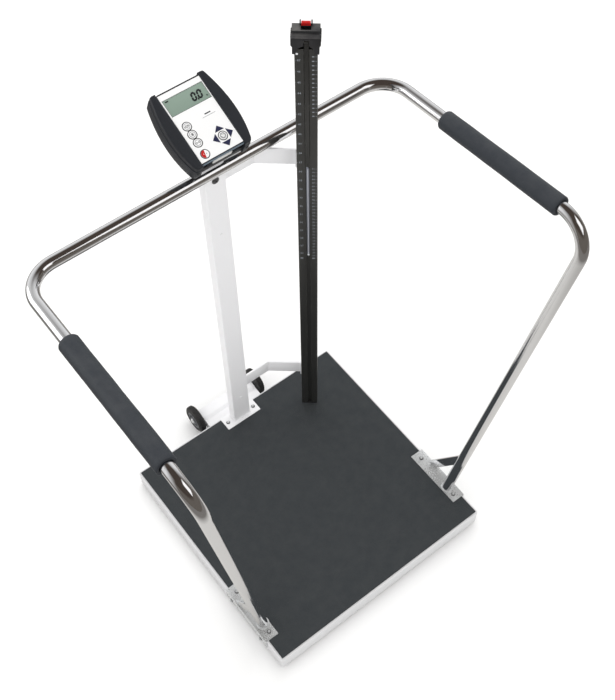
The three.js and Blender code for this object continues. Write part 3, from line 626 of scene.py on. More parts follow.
def bent_tube(corners, radius, bend, sides=48, steps=20):
    """A round tube along a line of corners, turned with one bend radius."""
    shape = bmesh.new()
    heading = (corners[1] - corners[0]).normalized()
    ring = bmesh.ops.create_circle(shape, cap_ends=False, segments=sides, radius=radius,
                                   matrix=aimed(corners[0], heading))["verts"]
    end = ring + list({e for v in ring for e in v.link_edges})
    here = corners[0]
    for before, corner, after in zip(corners, corners[1:], corners[2:]):
        inward, outward = (corner - before).normalized(), (after - corner).normalized()
        angle = inward.angle(outward)
        start = corner - inward * bend * tan(angle / 2)
        end = extend(shape, end, start - here)
        across = (outward - inward * outward.dot(inward)).normalized()
        end = bmesh.ops.spin(shape, geom=end, cent=start + across * bend,
                             axis=inward.cross(outward).normalized(),
                             dvec=(0, 0, 0), angle=angle, steps=steps, use_merge=False,
                             use_normal_flip=False, use_duplicate=False)["geom_last"]
        here = corner + outward * bend * tan(angle / 2)
    extend(shape, end, corners[-1] - here)
    bmesh.ops.holes_fill(shape, edges=[e for e in shape.edges if e.is_boundary], sides=0)
    return shape


def extend(shape, end, step):
    """Draws the open end of a tube straight on."""
    edges = [g for g in end if isinstance(g, bmesh.types.BMEdge)]
    drawn = bmesh.ops.extrude_edge_only(shape, edges=edges)["geom"]
    fresh = verts_in(drawn)
    bmesh.ops.translate(shape, vec=step, verts=fresh)
    return fresh + [g for g in drawn if isinstance(g, bmesh.types.BMEdge)
                    and g.verts[0] in fresh and g.verts[1] in fresh]


def slice_off(shape, point, away):
    """Cuts off what lies on one side of a plane and closes the cut."""
    geometry = shape.verts[:] + shape.edges[:] + shape.faces[:]
    bmesh.ops.bisect_plane(shape, geom=geometry, plane_co=point, plane_no=away, clear_outer=True)
    bmesh.ops.holes_fill(shape, edges=[e for e in shape.edges if e.is_boundary], sides=0)
    return shape


def hex_head(radius, high):
    """A chamfered hexagon head standing on z = 0."""
    shape = bmesh.new()
    bmesh.ops.create_cone(shape, cap_ends=True, segments=6, radius1=radius, radius2=radius, depth=high,
                          matrix=at(0, 0, high / 2))
    return soften(shape, min(0.7, high / 5), 2)


def socket_head(radius, high):
    """A cap screw head with its round recess, standing on z = 0."""
    deep, inner = high * 0.6, radius * 0.52
    shape = turned([(0, 0), (radius, 0), (radius, high), (inner, high), (inner, high - deep),
                    (0, high - deep)], 28)
    return soften(shape, radius * 0.12, 2, 50)


def dome_head(radius, high):
    """A low domed head standing on z = 0."""
    steps = [(radius * cos(radians(a)), high * sin(radians(a))) for a in range(0, 91, 15)]
    return turned([(0, -0.2), (radius, -0.2), *steps[:-1], (0, high)], 32)


def bead(start, end, radius, ripples):
    """A weld bead: a bar whose thickness ripples along its length."""
    run = Vector(end) - Vector(start)
    span = run.length
    count = ripples * 4
    profile = [(0, 0)]
    for i in range(1, count):
        share = i / count
        swell = radius * min(1.0, (4 * share * (1 - share)) ** 0.35) * (1 + 0.13 * sin(tau * i / 4))
        profile.append((swell, share * span))
    profile.append((0, span))
    shape = turned(profile, 14)
    bmesh.ops.transform(shape, matrix=aimed(start, run), verts=shape.verts)
    return shape


def ring_bead(radius, thick, ripples=26):
    """A weld bead round a tube, about the Z axis."""
    shape = bmesh.new()
    place = at(radius, 0, 0) @ FACING_FRONT
    ring = bmesh.ops.create_circle(shape, cap_ends=False, segments=10, radius=thick, matrix=place)["verts"]
    edges = list({e for v in ring for e in v.link_edges})
    bmesh.ops.spin(shape, geom=ring + edges, cent=(0, 0, 0), axis=(0, 0, 1), dvec=(0, 0, 0), angle=tau,
                   steps=ripples * 4, use_merge=True, use_normal_flip=False, use_duplicate=False)
    bmesh.ops.remove_doubles(shape, verts=shape.verts, dist=1e-4)
    for vert in shape.verts:
        turn = atan2(vert.co.y, vert.co.x)
        centre = Vector((cos(turn), sin(turn), 0)) * radius
        vert.co = centre + (vert.co - centre) * (1 + 0.16 * sin(turn * ripples))
    return shape


def lettering(text, high, deep=0.24):
    """Numerals as a thin raised print, centred on the origin."""
    curve = bpy.data.curves.new("lettering", "FONT")
    curve.body = text
    curve.size = high * 1.4
    curve.extrude = deep / 2
    curve.resolution_u = 1
    curve.align_x = "CENTER"
    curve.align_y = "CENTER"
    holder = bpy.data.objects.new("lettering", curve)
    mesh = bpy.data.meshes.new_from_object(holder)
    shape = bmesh.new()
    shape.from_mesh(mesh)
    bmesh.ops.remove_doubles(shape, verts=shape.verts, dist=1e-5)
    bpy.data.objects.remove(holder)
    bpy.data.curves.remove(curve)
    bpy.data.meshes.remove(mesh)
    return shape


class Piece:
    """A piece gathered from closed shapes, each with its own finish and place."""

    def __init__(self, name):
        self.name = name
        self.bm = bmesh.new()
        self.finishes = []

    def add(self, shape, look, place=None):
        if any(not e.is_manifold for e in shape.edges):
            raise RuntimeError(self.name + ": a shape is not closed")
        if look not in self.finishes:
            self.finishes.append(look)
        bmesh.ops.transform(shape, matrix=place or Matrix(), verts=shape.verts)
        bmesh.ops.recalc_face_normals(shape, faces=shape.faces)
        for face in shape.faces:
            face.material_index = self.finishes.index(look)
        mesh = bpy.data.meshes.new("shape")
        shape.to_mesh(mesh)
        shape.free()
        self.bm.from_mesh(mesh)
        bpy.data.meshes.remove(mesh)
        return self

    def done(self, body, slot, *nodes, smooth=32):
        """Makes the object, in metres, riding on a body and standing for some of the frame's solids."""
        bmesh.ops.scale(self.bm, vec=(MM, MM, MM), verts=self.bm.verts)
        mesh = bpy.data.meshes.new(self.name)
        self.bm.to_mesh(mesh)
        self.bm.free()
        mesh.shade_smooth()
        mesh.set_sharp_from_angle(angle=radians(smooth))
        for look in self.finishes:
            mesh.materials.append(look)
        made = bpy.data.objects.new(self.name, mesh)
        bpy.context.scene.collection.objects.link(made)
        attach(made, body)
        if nodes:
            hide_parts(*nodes)
        return made


def point_on(start, end, axis, value):
    """The point of a straight line at one coordinate."""
    return start.lerp(end, (value - start[axis]) / (end[axis] - start[axis]))


# ---- Operators ----
class BuildPlatform(bpy.types.Operator):
    """Folded white tray with its rubber mat"""
    bl_idname = "handrail_scale.platform"
    bl_label = "Platform and mat"

    def execute(self, context):
        s = sizes("platform")
        half, wall, top = mm(s.deck_side) / 2, mm(s.deck_wall), -mm(s.mat_thick) - GAP
        tray = slab(oblong(-half, -half, half, half), DECK_LOW, top, mm(s.deck_corner), mm(s.deck_edge), 4, 8)
        floor = min(tray.faces, key=lambda f: f.calc_center_median().z)
        bmesh.ops.inset_region(tray, faces=[floor], thickness=wall, use_even_offset=True)
        bmesh.ops.translate(tray, vec=(0, 0, top - wall - DECK_LOW), verts=verts_in(
            bmesh.ops.extrude_face_region(tray, geom=[floor])["geom"]))
        bmesh.ops.delete(tray, geom=[f for f in tray.faces if f == floor], context="FACES_ONLY")
        deck = Piece("platform_tray").add(tray, tray_paint())
        for sx in (-1, 1):
            for sy in (-1, 1):
                x, y = sx * (half - 1.4 - wall), sy * (half - 1.4 - wall)
                deck.add(bead((x, y, DECK_LOW + 2), (x, y, top - wall - 1), 2, 16), tray_paint())
        deck.done("base", "white_paint", "platform_deck")

        side, plate = mm(s.mat_side) / 2, RAIL_PLATE
        inner, front, back = plate["inner"] - GAP, plate["front"] - GAP, plate["back"] + GAP
        right = [(side, -side), (side, front), (inner, front), (inner, back), (side, back), (side, side),
                 (51.5, side), (51.5, 264)]
        left = [(-x, y) for x, y in reversed(right)]
        sheet = slab(right + left, -mm(s.mat_thick), 0, 1.0, 0.7, 3, 4)
        Piece("mat_sheet").add(sheet, mat_rubber()).done("base", "mat_rubber", "rubber_mat")
        return {"FINISHED"}


class BuildColumnDetails(bpy.types.Operator):
    """Foot plate, welds, bolts and small fasteners of the column"""
    bl_idname = "handrail_scale.column"
    bl_label = "Column fittings"

    def execute(self, context):
        bolt = mm(sizes("platform").bolt_radius)
        plate = Piece("column_plate").add(slab(oblong(-51.2, 264.3, 51.2, 305), -3, 0, 2, 0.6, 2),
                                          white_paint())
        for x in (-40, 40):
            plate.add(disc(bolt + 1.4, 0, 0.9, 0.3, 32), steel(), at(x, 283, 0))
            plate.add(hex_head(bolt, 3.4), bright_zinc(), at(x, 283, 1.1))
        plate.done("base", "zinc_plate", "column_foot_plate")

        weld_loop = Piece("column_weld")
        x, y0, y1 = COLUMN_HALF, COLUMN_FRONT, COLUMN_BACK
        corners = [(-x, y0), (x, y0), (x, y1), (-x, y1)]
        for (ax, ay), (bx, by) in zip(corners, corners[1:] + corners[:1]):
            weld_loop.add(bead((ax, ay, 1.4), (bx, by, 1.4), 2.3, 12), white_paint())
        weld_loop.done("base", "white_paint")

        head = Piece("rail_bolt_head")
        facing = at(0, COLUMN_FRONT, 915) @ FACING_FRONT
        head.add(disc(8.2, GAP, 1.3, 0.4), steel(), facing)
        head.add(dome_head(6.6, 3.0), steel(), facing @ at(0, 0, 1.3))
        # The dark hexagon on the dome stands in for the head's socket: painted shade, not a recess.
        head.add(disc(2.6, 0, 0.6, 0.2, 6), dark_print(), facing @ at(0, 0, 3.9))
        head.add(disc(3, -16, -2.4), chrome(), facing)
        head.done("base", "chrome", "rail_bolt")

        small = Piece("column_fasteners")
        for z, radius in ((753, 3.2), (101, 3.6)):
            place = at(0, COLUMN_FRONT - 0.1, z) @ FACING_FRONT
            small.add(dome_head(radius, 1.5), white_paint(), place)
        for z in (96, 862):
            for x in (-13, 13):
                place = at(x, COLUMN_BACK + 0.1, z) @ ALONG_Y
                small.add(dome_head(3, 1.4), bright_zinc(), place)
        small.done("base", "zinc_plate")
        return {"FINISHED"}


class BuildHandrail(bpy.types.Operator):
    """Chromed tube, its plates, struts and welds"""
    bl_idname = "handrail_scale.rail"
    bl_label = "Handrail"

    def execute(self, context):
        s = sizes("rail")
        tube = mm(s.tube)
        low = LEG_FOOT + (LEG_FOOT - FRONT_BEND).normalized() * 12
        right = [low, FRONT_BEND, BACK_BEND]
        corners = right + [MIRROR @ p for p in reversed(right)]
        rail = bent_tube(corners, tube, mm(s.bend), s.sides)
        slice_off(rail, (0, 0, GAP), (0, 0, -1))
        Piece("handrail_bent_tube").add(rail, chrome()).done("base", "chrome", "handrail_tube", smooth=50)

        for side, sign in SIDES:
            mirror = MIRROR if sign < 0 else Matrix()
            self.plate(side, mirror)
            self.strut(side, mirror, tube, s)
        return {"FINISHED"}

    def plate(self, side, mirror):
        p, bolt = RAIL_PLATE, mm(sizes("platform").bolt_radius)
        angle = [(p["inner"], -3), (p["inner"], 0), (p["outer"], 0), (p["outer"], p["low"]),
                 (p["outer"] - 3, p["low"]), (p["outer"] - 3, -3)]
        shape = slab(angle, p["front"], p["back"], 0, 0.7, 2)
        piece = Piece("handrail_foot_plate_" + side).add(shape, zinc(), mirror @ UPRIGHT)
        for x, y in ((290, -105.5), (287, -230.7)):
            piece.add(disc(bolt + 1.6, 0, 1.1, 0.4, 32), steel(), mirror @ at(x, y, 0))
            piece.add(hex_head(bolt, 3.2), bright_zinc(), mirror @ at(x, y, 1.1))
        for y in (-108, -225):
            place = mirror @ at(p["outer"], y, -24) @ ALONG_X
            piece.add(disc(bolt + 1.6, 0, 1, 0.4, 32), steel(), place)
            piece.add(socket_head(bolt, 3), bright_zinc(), place @ at(0, 0, 1))
        leg = (FRONT_BEND - LEG_FOOT).normalized()
        piece.add(ring_bead(13, 2.5), weld(), mirror @ aimed(LEG_FOOT - leg * 1.2, leg))
        for dx in (-11, 11):
            piece.add(bead((STRUT_FOOT.x + dx, -141, 1), (STRUT_FOOT.x + dx, -133, 1), 1.7, 4), weld(),
                      mirror)
        x = STRUT_FOOT.x
        for y, thick in ((-132, 2.4), (-128.6, 1.8)):
            piece.add(bead((x - 13, y, 1), (x + 5, y, 1), thick, 7), weld(), mirror)
        piece.done("base", "zinc_plate", "handrail_plate_" + side)

    def strut(self, side, mirror, tube, s):
        top = point_on(LEG_FOOT, FRONT_BEND, 2, STRUT_TOP_Z)
        along = (top - STRUT_FOOT).normalized()
        across = Vector((1, 0, 0)).cross(along).normalized()
        thin = across.cross(along)
        turn = Matrix((across, thin, along)).transposed().to_4x4()
        wide, thick = mm(s.strut_wide) / 2, mm(s.strut_thick) / 2
        reach = (top - STRUT_FOOT).length - tube * 0.7
        shape = box((-wide, -thick, -12), (wide, thick, reach), 1.6, 3)
        bmesh.ops.transform(shape, matrix=Matrix.Translation(STRUT_FOOT) @ turn, verts=shape.verts)
        slice_off(shape, (0, 0, GAP), (0, 0, -1))
        piece = Piece("handrail_flat_strut_" + side).add(shape, chrome(), mirror)
        near = top - along * tube * 1.02
        piece.add(bead(near - across * wide - thin * 2, near + across * wide - thin * 2, 1.8, 10), weld(),
                  mirror)
        piece.done("base", "chrome", "handrail_strut_" + side)


class BuildGrips(bpy.types.Operator):
    """Foam grips on the side runs of the handrail"""
    bl_idname = "handrail_scale.grips"
    bl_label = "Foam grips"

    def execute(self, context):
        s = sizes("rail")
        radius, bore = mm(s.grip), mm(s.tube) + GAP
        for side, sign in SIDES:
            ends = [point_on(FRONT_BEND, BACK_BEND, 1, y) for y in (GRIP_FRONT, GRIP_BACK)]
            if sign < 0:
                ends = [MIRROR @ p for p in ends]
            span = (ends[1] - ends[0]).length
            rings = 60
            rim = [(bore, 2.2), (bore + 0.8, 0.5), (bore + 2.2, 0), (radius - 2.4, 0), (radius - 0.9, 0.7)]
            skin = [(radius, 2.6 + (span - 5.2) * i / rings) for i in range(rings + 1)]
            far = [(r, span - z) for r, z in reversed(rim)]
            shape = turned([*rim, *skin, *far, (bore, 2.2)], 48)
            for vert in shape.verts:
                out = Vector((vert.co.x, vert.co.y, 0))
                if out.length > radius - 2:
                    swell = noise.noise(vert.co * 0.022 + Vector((sign * 7, 0, 3)))
                    vert.co += out.normalized() * (swell * 0.5 - 0.15)
            piece = Piece("foam_grip_" + side).add(shape, foam(), aimed(ends[0], ends[1] - ends[0]))
            piece.done("base", "grip_foam", "handrail_grip_" + side)
        return {"FINISHED"}


class BuildWheels(bpy.types.Operator):
    """Two wheels, their axle and their white bracket"""
    bl_idname = "handrail_scale.wheels"
    bl_label = "Wheels"

    def execute(self, context):
        self.bracket()
        self.axle()
        for side, sign in SIDES:
            place = at(sign * WHEEL_X, WHEEL_Y, WHEEL_Z) @ ALONG_X
            self.tyre(side, place)
            self.hub(side, place)
        return {"FINISHED"}

    def bracket(self):
        y0, back, half = BRACKET_Y, BRACKET_BACK, BRACKET_HALF
        sheet = [(y0, -44), (y0 + 3, -44), (y0 + 3, -14), (y0 + 24, -14), (y0 + 32, -8), (back, -8),
                 (back, -5), (y0 + 31, -5), (y0 + 23, -11), (y0, -11)]
        ear = [(y0 + 2, -12), (back - 1, -6), (back - 1, WHEEL_Z - 10), (WHEEL_Y - 12, WHEEL_Z - 13),
               (y0 + 2, -43)]
        piece = Piece("wheel_carrier").add(slab(sheet, -half, half, 0, 0.7, 2), white_paint(), SIDEWAYS)
        for x0, x1 in ((-half, 3 - half), (half - 3, half)):
            piece.add(slab(ear, x0, x1, 0, 0.6, 2), white_paint(), SIDEWAYS)
        for x in (-60, 0, 60):
            place = at(x, y0 + 3, -32) @ ALONG_Y
            piece.add(disc(5.6, 0, 1, 0.3), bright_zinc(), place)
            piece.add(hex_head(4.4, 3), bright_zinc(), place @ at(0, 0, 1))
        piece.done("base", "white_paint", "wheel_bracket")

    def axle(self):
        end = WHEEL_X + 11
        nut = [(0, end + 4), (3, end + 3.7), (5.4, end + 2.8), (6.8, end + 1.4), (7.4, end), (4.9, end)]
        profile = [(r, -z) for r, z in nut] + [(r, z) for r, z in reversed(nut)]
        shape = turned(profile, 40)
        Piece("wheel_spindle").add(shape, bright_zinc(), at(0, WHEEL_Y, WHEEL_Z) @ ALONG_X).done(
            "base", "zinc_plate", "wheel_axle")

    def tyre(self, side, place):
        s = sizes("wheel")
        r, half, ribs = mm(s.radius), mm(s.width) / 2, s.ribs
        wall = [(24.3, -half + 0.5), (27, -half), (29.5, -half), (30, -half + 0.7), (31.2, -half + 0.7),
                (31.8, -half), (r - 4.2, -half + 1), (r - 1.6, -half + 2.8), (r - 0.6, -half + 4)]
        tread, pitch = [], (2 * half - 9) / ribs
        for i in range(ribs):
            z = -half + 4.5 + pitch * i
            crown = 0.7 * (1 - ((z + pitch / 2) / half) ** 2)
            tread += [(r - 2, z), (r - 0.7 + crown, z + 0.35), (r - 0.7 + crown, z + pitch - 0.75),
                      (r - 2, z + pitch - 0.4)]
        far = [(a, -z) for a, z in reversed(wall)]
        shape = turned([*wall, *tread, *far, wall[0]], 72)
        Piece("tyre_" + side).add(shape, tyre_rubber(), place).done("wheel_" + side, "tyre",
                                                                    "wheel_tyre_" + side)

    def hub(self, side, place):
        rim = turned([(5.1, -10), (9.4, -10), (10.4, -8.6), (10.6, -2.2), (18, -2.2), (19, -8.4), (20, -9),
                      (24, -9), (24, 9), (20, 9), (19, 8.4), (18, 2.2), (10.6, 2.2), (10.4, 8.6), (9.4, 10),
                      (5.1, 10), (5.1, -10)], 56)
        piece = Piece("hub_" + side).add(rim, hub_plastic(), place)
        for i in range(6):
            turn = place @ Matrix.Rotation(tau * i / 6, 4, "Z")
            piece.add(box((9.8, -1.1, -7.6), (19.4, 1.1, 7.6), 0.6, 2), hub_plastic(), turn)
        piece.done("wheel_" + side, "hub_grey", "wheel_hub_" + side)


class BuildRod(bpy.types.Operator):
    """Brackets, backing plates and the graduated profile of the height rod"""
    bl_idname = "handrail_scale.rod"
    bl_label = "Height rod"

    def execute(self, context):
        for level, z in (("lower", BAR_LOW_Z), ("upper", BAR_HIGH_Z)):
            self.bracket(level, z)
            self.plate(level, z)
        self.profile()
        self.marks()
        self.inner_marks()
        return {"FINISHED"}

    def bracket(self, level, z):
        half, start, end = BAR_THICK / 2, COLUMN_HALF + GAP, ROD_ALONG + 19
        fold = half * tan(ARM_TURN / 2)

        def point(along, side):
            return (ARM_BEND_X + along * cos(ARM_TURN) - side * sin(ARM_TURN),
                    COLUMN_Y + along * sin(ARM_TURN) + side * cos(ARM_TURN))

        outline = [(start, COLUMN_Y - half), (ARM_BEND_X + fold, COLUMN_Y - half), point(end, -half),
                   point(end, half), (ARM_BEND_X - fold, COLUMN_Y + half), (start + 4, COLUMN_Y + half),
                   (start + 4, COLUMN_Y + 11), (start, COLUMN_Y + 11)]
        shape = slab(outline, z - BAR_HIGH / 2, z + BAR_HIGH / 2, 1.1, 0.8, 2, 4)
        piece = Piece("rod_carrier_" + level).add(shape, white_paint())
        for side in (-1, 1):
            edge = z + side * (BAR_HIGH / 2 - 1)
            piece.add(bead((start + 1, COLUMN_Y - half, edge), (start + 1, COLUMN_Y + half, edge), 1.5, 4),
                      white_paint())
        piece.add(bead((start + 0.6, COLUMN_Y - half, z - 19), (start + 0.6, COLUMN_Y - half, z + 19), 1.8,
                       16),
                  white_paint())
        for dx in (-14, 14):
            place = ROD_PLACE @ at(dx, half, z) @ ALONG_Y
            piece.add(disc(6, 0, 1, 0.3), bright_zinc(), place)
            piece.add(hex_head(4.6, 3), bright_zinc(), place @ at(0, 0, 1))
        piece.done("base", "white_paint", "rod_bracket_" + level)

    def plate(self, level, z):
        high = BAR_HIGH / 2 + 4.5
        outline = [(-24, -high), (13.5, -high), (19.5, 6 - high), (19.5, high - 6), (13.5, high), (-24, high)]
        shape = slab(outline, -6.8, -2.8, 1, 0.6, 2, 4)
        piece = Piece("rod_backing_" + level).add(shape, white_paint(), ROD_PLACE @ at(0, 0, z) @ UPRIGHT)
        for dz in (-high + 2.6, high - 2.6):
            place = ROD_PLACE @ at(-2, -2.9, z + dz) @ ALONG_Y
            piece.add(dome_head(1.9, 1.2), bright_zinc(), place)
        piece.done("base", "white_paint", "rod_plate_" + level)

    def profile(self):
        h, f, b = ROD_HALF, ROD_FRONT, ROD_BACK
        x0, x1, deep = CHANNEL_X - CHANNEL_HALF, CHANNEL_X + CHANNEL_HALF, f + CHANNEL_DEEP
        left = [(-h, f + 1.5), (-h + 0.45, f + 0.45), (-h + 1.5, f)]
        groove = [(h, f + 12), (h - 0.9, f + 12.6), (h - 0.9, f + 15), (h, f + 15.6)]
        outline = [*left, (x0 - 0.5, f), (x0, f + 0.5), (x0, deep), (x1, deep), (x1, f + 0.5), (x1 + 0.5, f),
                   (h - 1.5, f), (h - 0.45, f + 0.45), (h, f + 1.5), *groove, (h, b - 0.8), (h - 0.8, b),
                   (-h + 0.8, b), (-h, b - 0.8), *[(-x, y) for x, y in reversed(groove)]]
        cavity = oblong(-15.5, -24.2, 15.5, -9.6)
        shape = pierced(outline, [cavity], ROD_BOTTOM, ROD_TOP)
        Piece("rod_extrusion").add(shape, anodised(), ROD_PLACE).done("base", "black_anodised",
                                                                      "rod_outer_profile")
        cap = slab(oblong(-h, f, h, b), ROD_BOTTOM - 5.3, ROD_BOTTOM - GAP, 2, 0.8, 2)
        Piece("rod_foot_cap").add(cap, black_plastic(), ROD_PLACE).done("base", "black_plastic",
                                                                        "rod_bottom_cap")

    def marks(self):
        s = sizes("rod")
        face = ROD_PLACE @ at(0, ROD_FRONT, 0) @ FACING_FRONT
        piece = Piece("rod_graduations")
        low = mm(s.inch_low)
        for i in range(22):
            z = low + 25.4 * i
            piece.add(lettering(str(round(z / 25.4)), mm(s.numeral)), rod_print(), face @ at(-12.6, z, 0))
            piece.add(box((-19.2, -0.25, -0.1), (-17.8, 0.25, 0.12)), rod_print(), face @ at(0, z, 0))
        low = mm(s.centimetre_low)
        for i in range(56):
            z = low + 10 * i
            if 912 < z < 1046:
                continue
            if z < 1000:
                piece.add(lettering(str(round(z / 10)), mm(s.small_numeral)), rod_print(),
                          face @ at(12.2, z, 0))
            piece.add(box((16.6, -0.3, -0.1), (18.8, 0.3, 0.12)), rod_print(), face @ at(0, z, 0))
            if z > 1000:
                piece.add(box((10.6, -0.9, -0.1), (14.6, 0.9, 0.12)), rod_print(), face @ at(0, z, 0))
        for x in (-13, 12):
            piece.add(box((x - 3, -1.2, -0.1), (x + 3, 1.2, 0.12)), rod_print(), face @ at(0, 631, 0))
        piece.add(disc(2.2, -0.1, 0.4, 0.1, 20), white_dot(), face @ at(-15.6, 1196, 0))
        piece.done("base", "black_anodised")

        strip = Piece("rod_channel_strip")
        middle = at(CHANNEL_X, 0, -CHANNEL_DEEP)
        strip.add(slab([(-2.9, 640), (2.9, 640), (2.9, 905), (-2.9, 918)], 0, 1.3, 0, 0.3, 2), strip_print(),
                  face @ middle)
        # The thin white line along the strip's middle is a painted highlight of a rounded strip.
        strip.add(box((-0.35, 640, 1.3), (0.35, 904, 1.6)), white_dot(), face @ middle)
        strip.add(dome_head(2.7, 2.2), white_dot(), face @ middle @ at(0, 638, 0.4))
        strip.done("base", "black_anodised")

    def inner_marks(self):
        face = ROD_PLACE @ at(0, -23.9, 0) @ FACING_FRONT
        piece = Piece("inner_graduations")
        for i in range(72):
            z = 480 + 10 * i
            long = 7 if i % 5 == 0 else 4
            piece.add(box((13 - long, -0.3, -0.05), (13, 0.3, 0.12)), rod_print(), face @ at(0, z, 0))
            if i % 5 == 0:
                piece.add(lettering(str(200 - i), 5, 0.2), rod_print(), face @ at(-6, z, 0))
        piece.done("rod_slide", "black_anodised")


class BuildHead(bpy.types.Operator):
    """Ribs and screws of the rod's head, the release catch and the measuring arm"""
    bl_idname = "handrail_scale.head"
    bl_label = "Rod head"

    def execute(self, context):
        self.shell()
        self.catch()
        self.arm()
        return {"FINISHED"}

    def shell(self):
        look, back = head_plastic(), HEAD_BACK
        slot = [(-3.8, 1228.3), (5.8, 1228.3)]
        crown = [(26, 1218), (26, 1230.5), (24, 1233), (-24, 1233), (-26, 1230.5), (-26, 1218)]
        arch = [(-23.5, 1199), (-17.5, 1199), (-16.6, 1206), (-13, 1212), (-3.8, 1216.4), *slot,
                (5.8, 1216.4), (12, 1211), (14.6, 1206), (15.4, 1199), (23.5, 1199), (23.5, 1214)]
        piece = Piece("head_shell")
        piece.add(slab([*arch, *crown, (-23.5, 1214)], HEAD_FRONT, -33.4, 0, 0.7, 2), look,
                  ROD_PLACE @ UPRIGHT)
        piece.add(slab([(-3.8, 1218), *slot, (5.8, 1218), *crown], -33.6, BLOCK_FRONT + 0.2, 0, 0.5, 2), look,
                  ROD_PLACE @ UPRIGHT)
        for sign in (-1, 1):
            x0, x1 = sorted((20.4 * sign, 23.5 * sign))
            piece.add(box((x0, -34, 1199), (x1, back, 1219), 0.6, 2), look, ROD_PLACE)
            x0, x1 = sorted((8.9 * sign, 11.1 * sign))
            piece.add(box((x0, -9, 1235), (x1, -4, 1246), 0.5, 2), look, ROD_PLACE)
        piece.add(box((-23.5, -6.8, 1199), (23.5, back, 1219), 0.6, 2), look, ROD_PLACE)
        piece.add(box((-24.5, BLOCK_FRONT, 1217.5), (24.5, back, 1228), 0.4, 2), look, ROD_PLACE)
        top = pierced(oblong(-24.5, BLOCK_FRONT, 24.5, back), [oblong(-8.7, -20, 8.7, -5.5)], 1227.8,
                      HEAD_TOP)
        piece.add(soften(top, 0.5, 2, 50), top_plastic(), ROD_PLACE)
        for x in (-24.3, 24.3):
            for i in range(5):
                y = HEAD_FRONT + 9 + 5 * i
                piece.add(box((x - 2.1, y - 1, 1220), (x + 2.1, y + 1, 1231.5), 0.6, 2), head_plastic(),
                          ROD_PLACE)
        for x in (-16, 16):
            for z in (1208, 1226):
                place = ROD_PLACE @ at(x, HEAD_BACK - 0.1, z) @ ALONG_Y
                piece.add(socket_head(2.6, 1.6), bright_zinc(), place)
        piece.done("rod_slide", "head_plastic", "rod_head")

    def catch(self):
        catch = Piece("catch_tab")
        # The catch's lower part is black so that it reads as the dark well under the red tab: painted shade.
        catch.add(box((-7.6, -10, 1232.5), (7.6, -6.2, 1238.4), 0.5), black_plastic(), ROD_PLACE)
        catch.add(box((-8, -10.4, 1238), (8, -6, 1245), 0.8), red_plastic(), ROD_PLACE)
        for i in range(3):
            z = 1239.4 + 2.1 * i
            catch.add(box((-8, -12, z - 0.5), (8, -9.8, z + 0.6), 0.4, 2), red_plastic(), ROD_PLACE)
        catch.done("release_catch", "catch_red", "release_catch")

    def arm(self):
        arm = Piece("arm_blade")
        y0, y1 = PIVOT_Y - 2.3, PIVOT_Y + 2.3
        side = [(y0, PIVOT_Z - 1), (y0, ARM_TIP_Z), (y1, ARM_TIP_Z + 9), (y1, PIVOT_Z - 1)]
        arm.add(slab(side, -3, 5, 0, 0.5, 2), anodised(), ROD_PLACE @ SIDEWAYS)
        eye = hollow_disc(3.6, 1.6, -3, 5, 32)
        arm.add(eye, anodised(), ROD_PLACE @ at(0, PIVOT_Y, PIVOT_Z) @ ALONG_X)
        arm.done("measuring_arm", "black_anodised", "measuring_arm")

        pin = bar((-11, PIVOT_Y, PIVOT_Z), (14, PIVOT_Y, PIVOT_Z), 1.5, 0.3)
        Piece("arm_hinge_pin").add(pin, bright_zinc(), ROD_PLACE).done("rod_slide", "zinc_plate", "arm_pin")


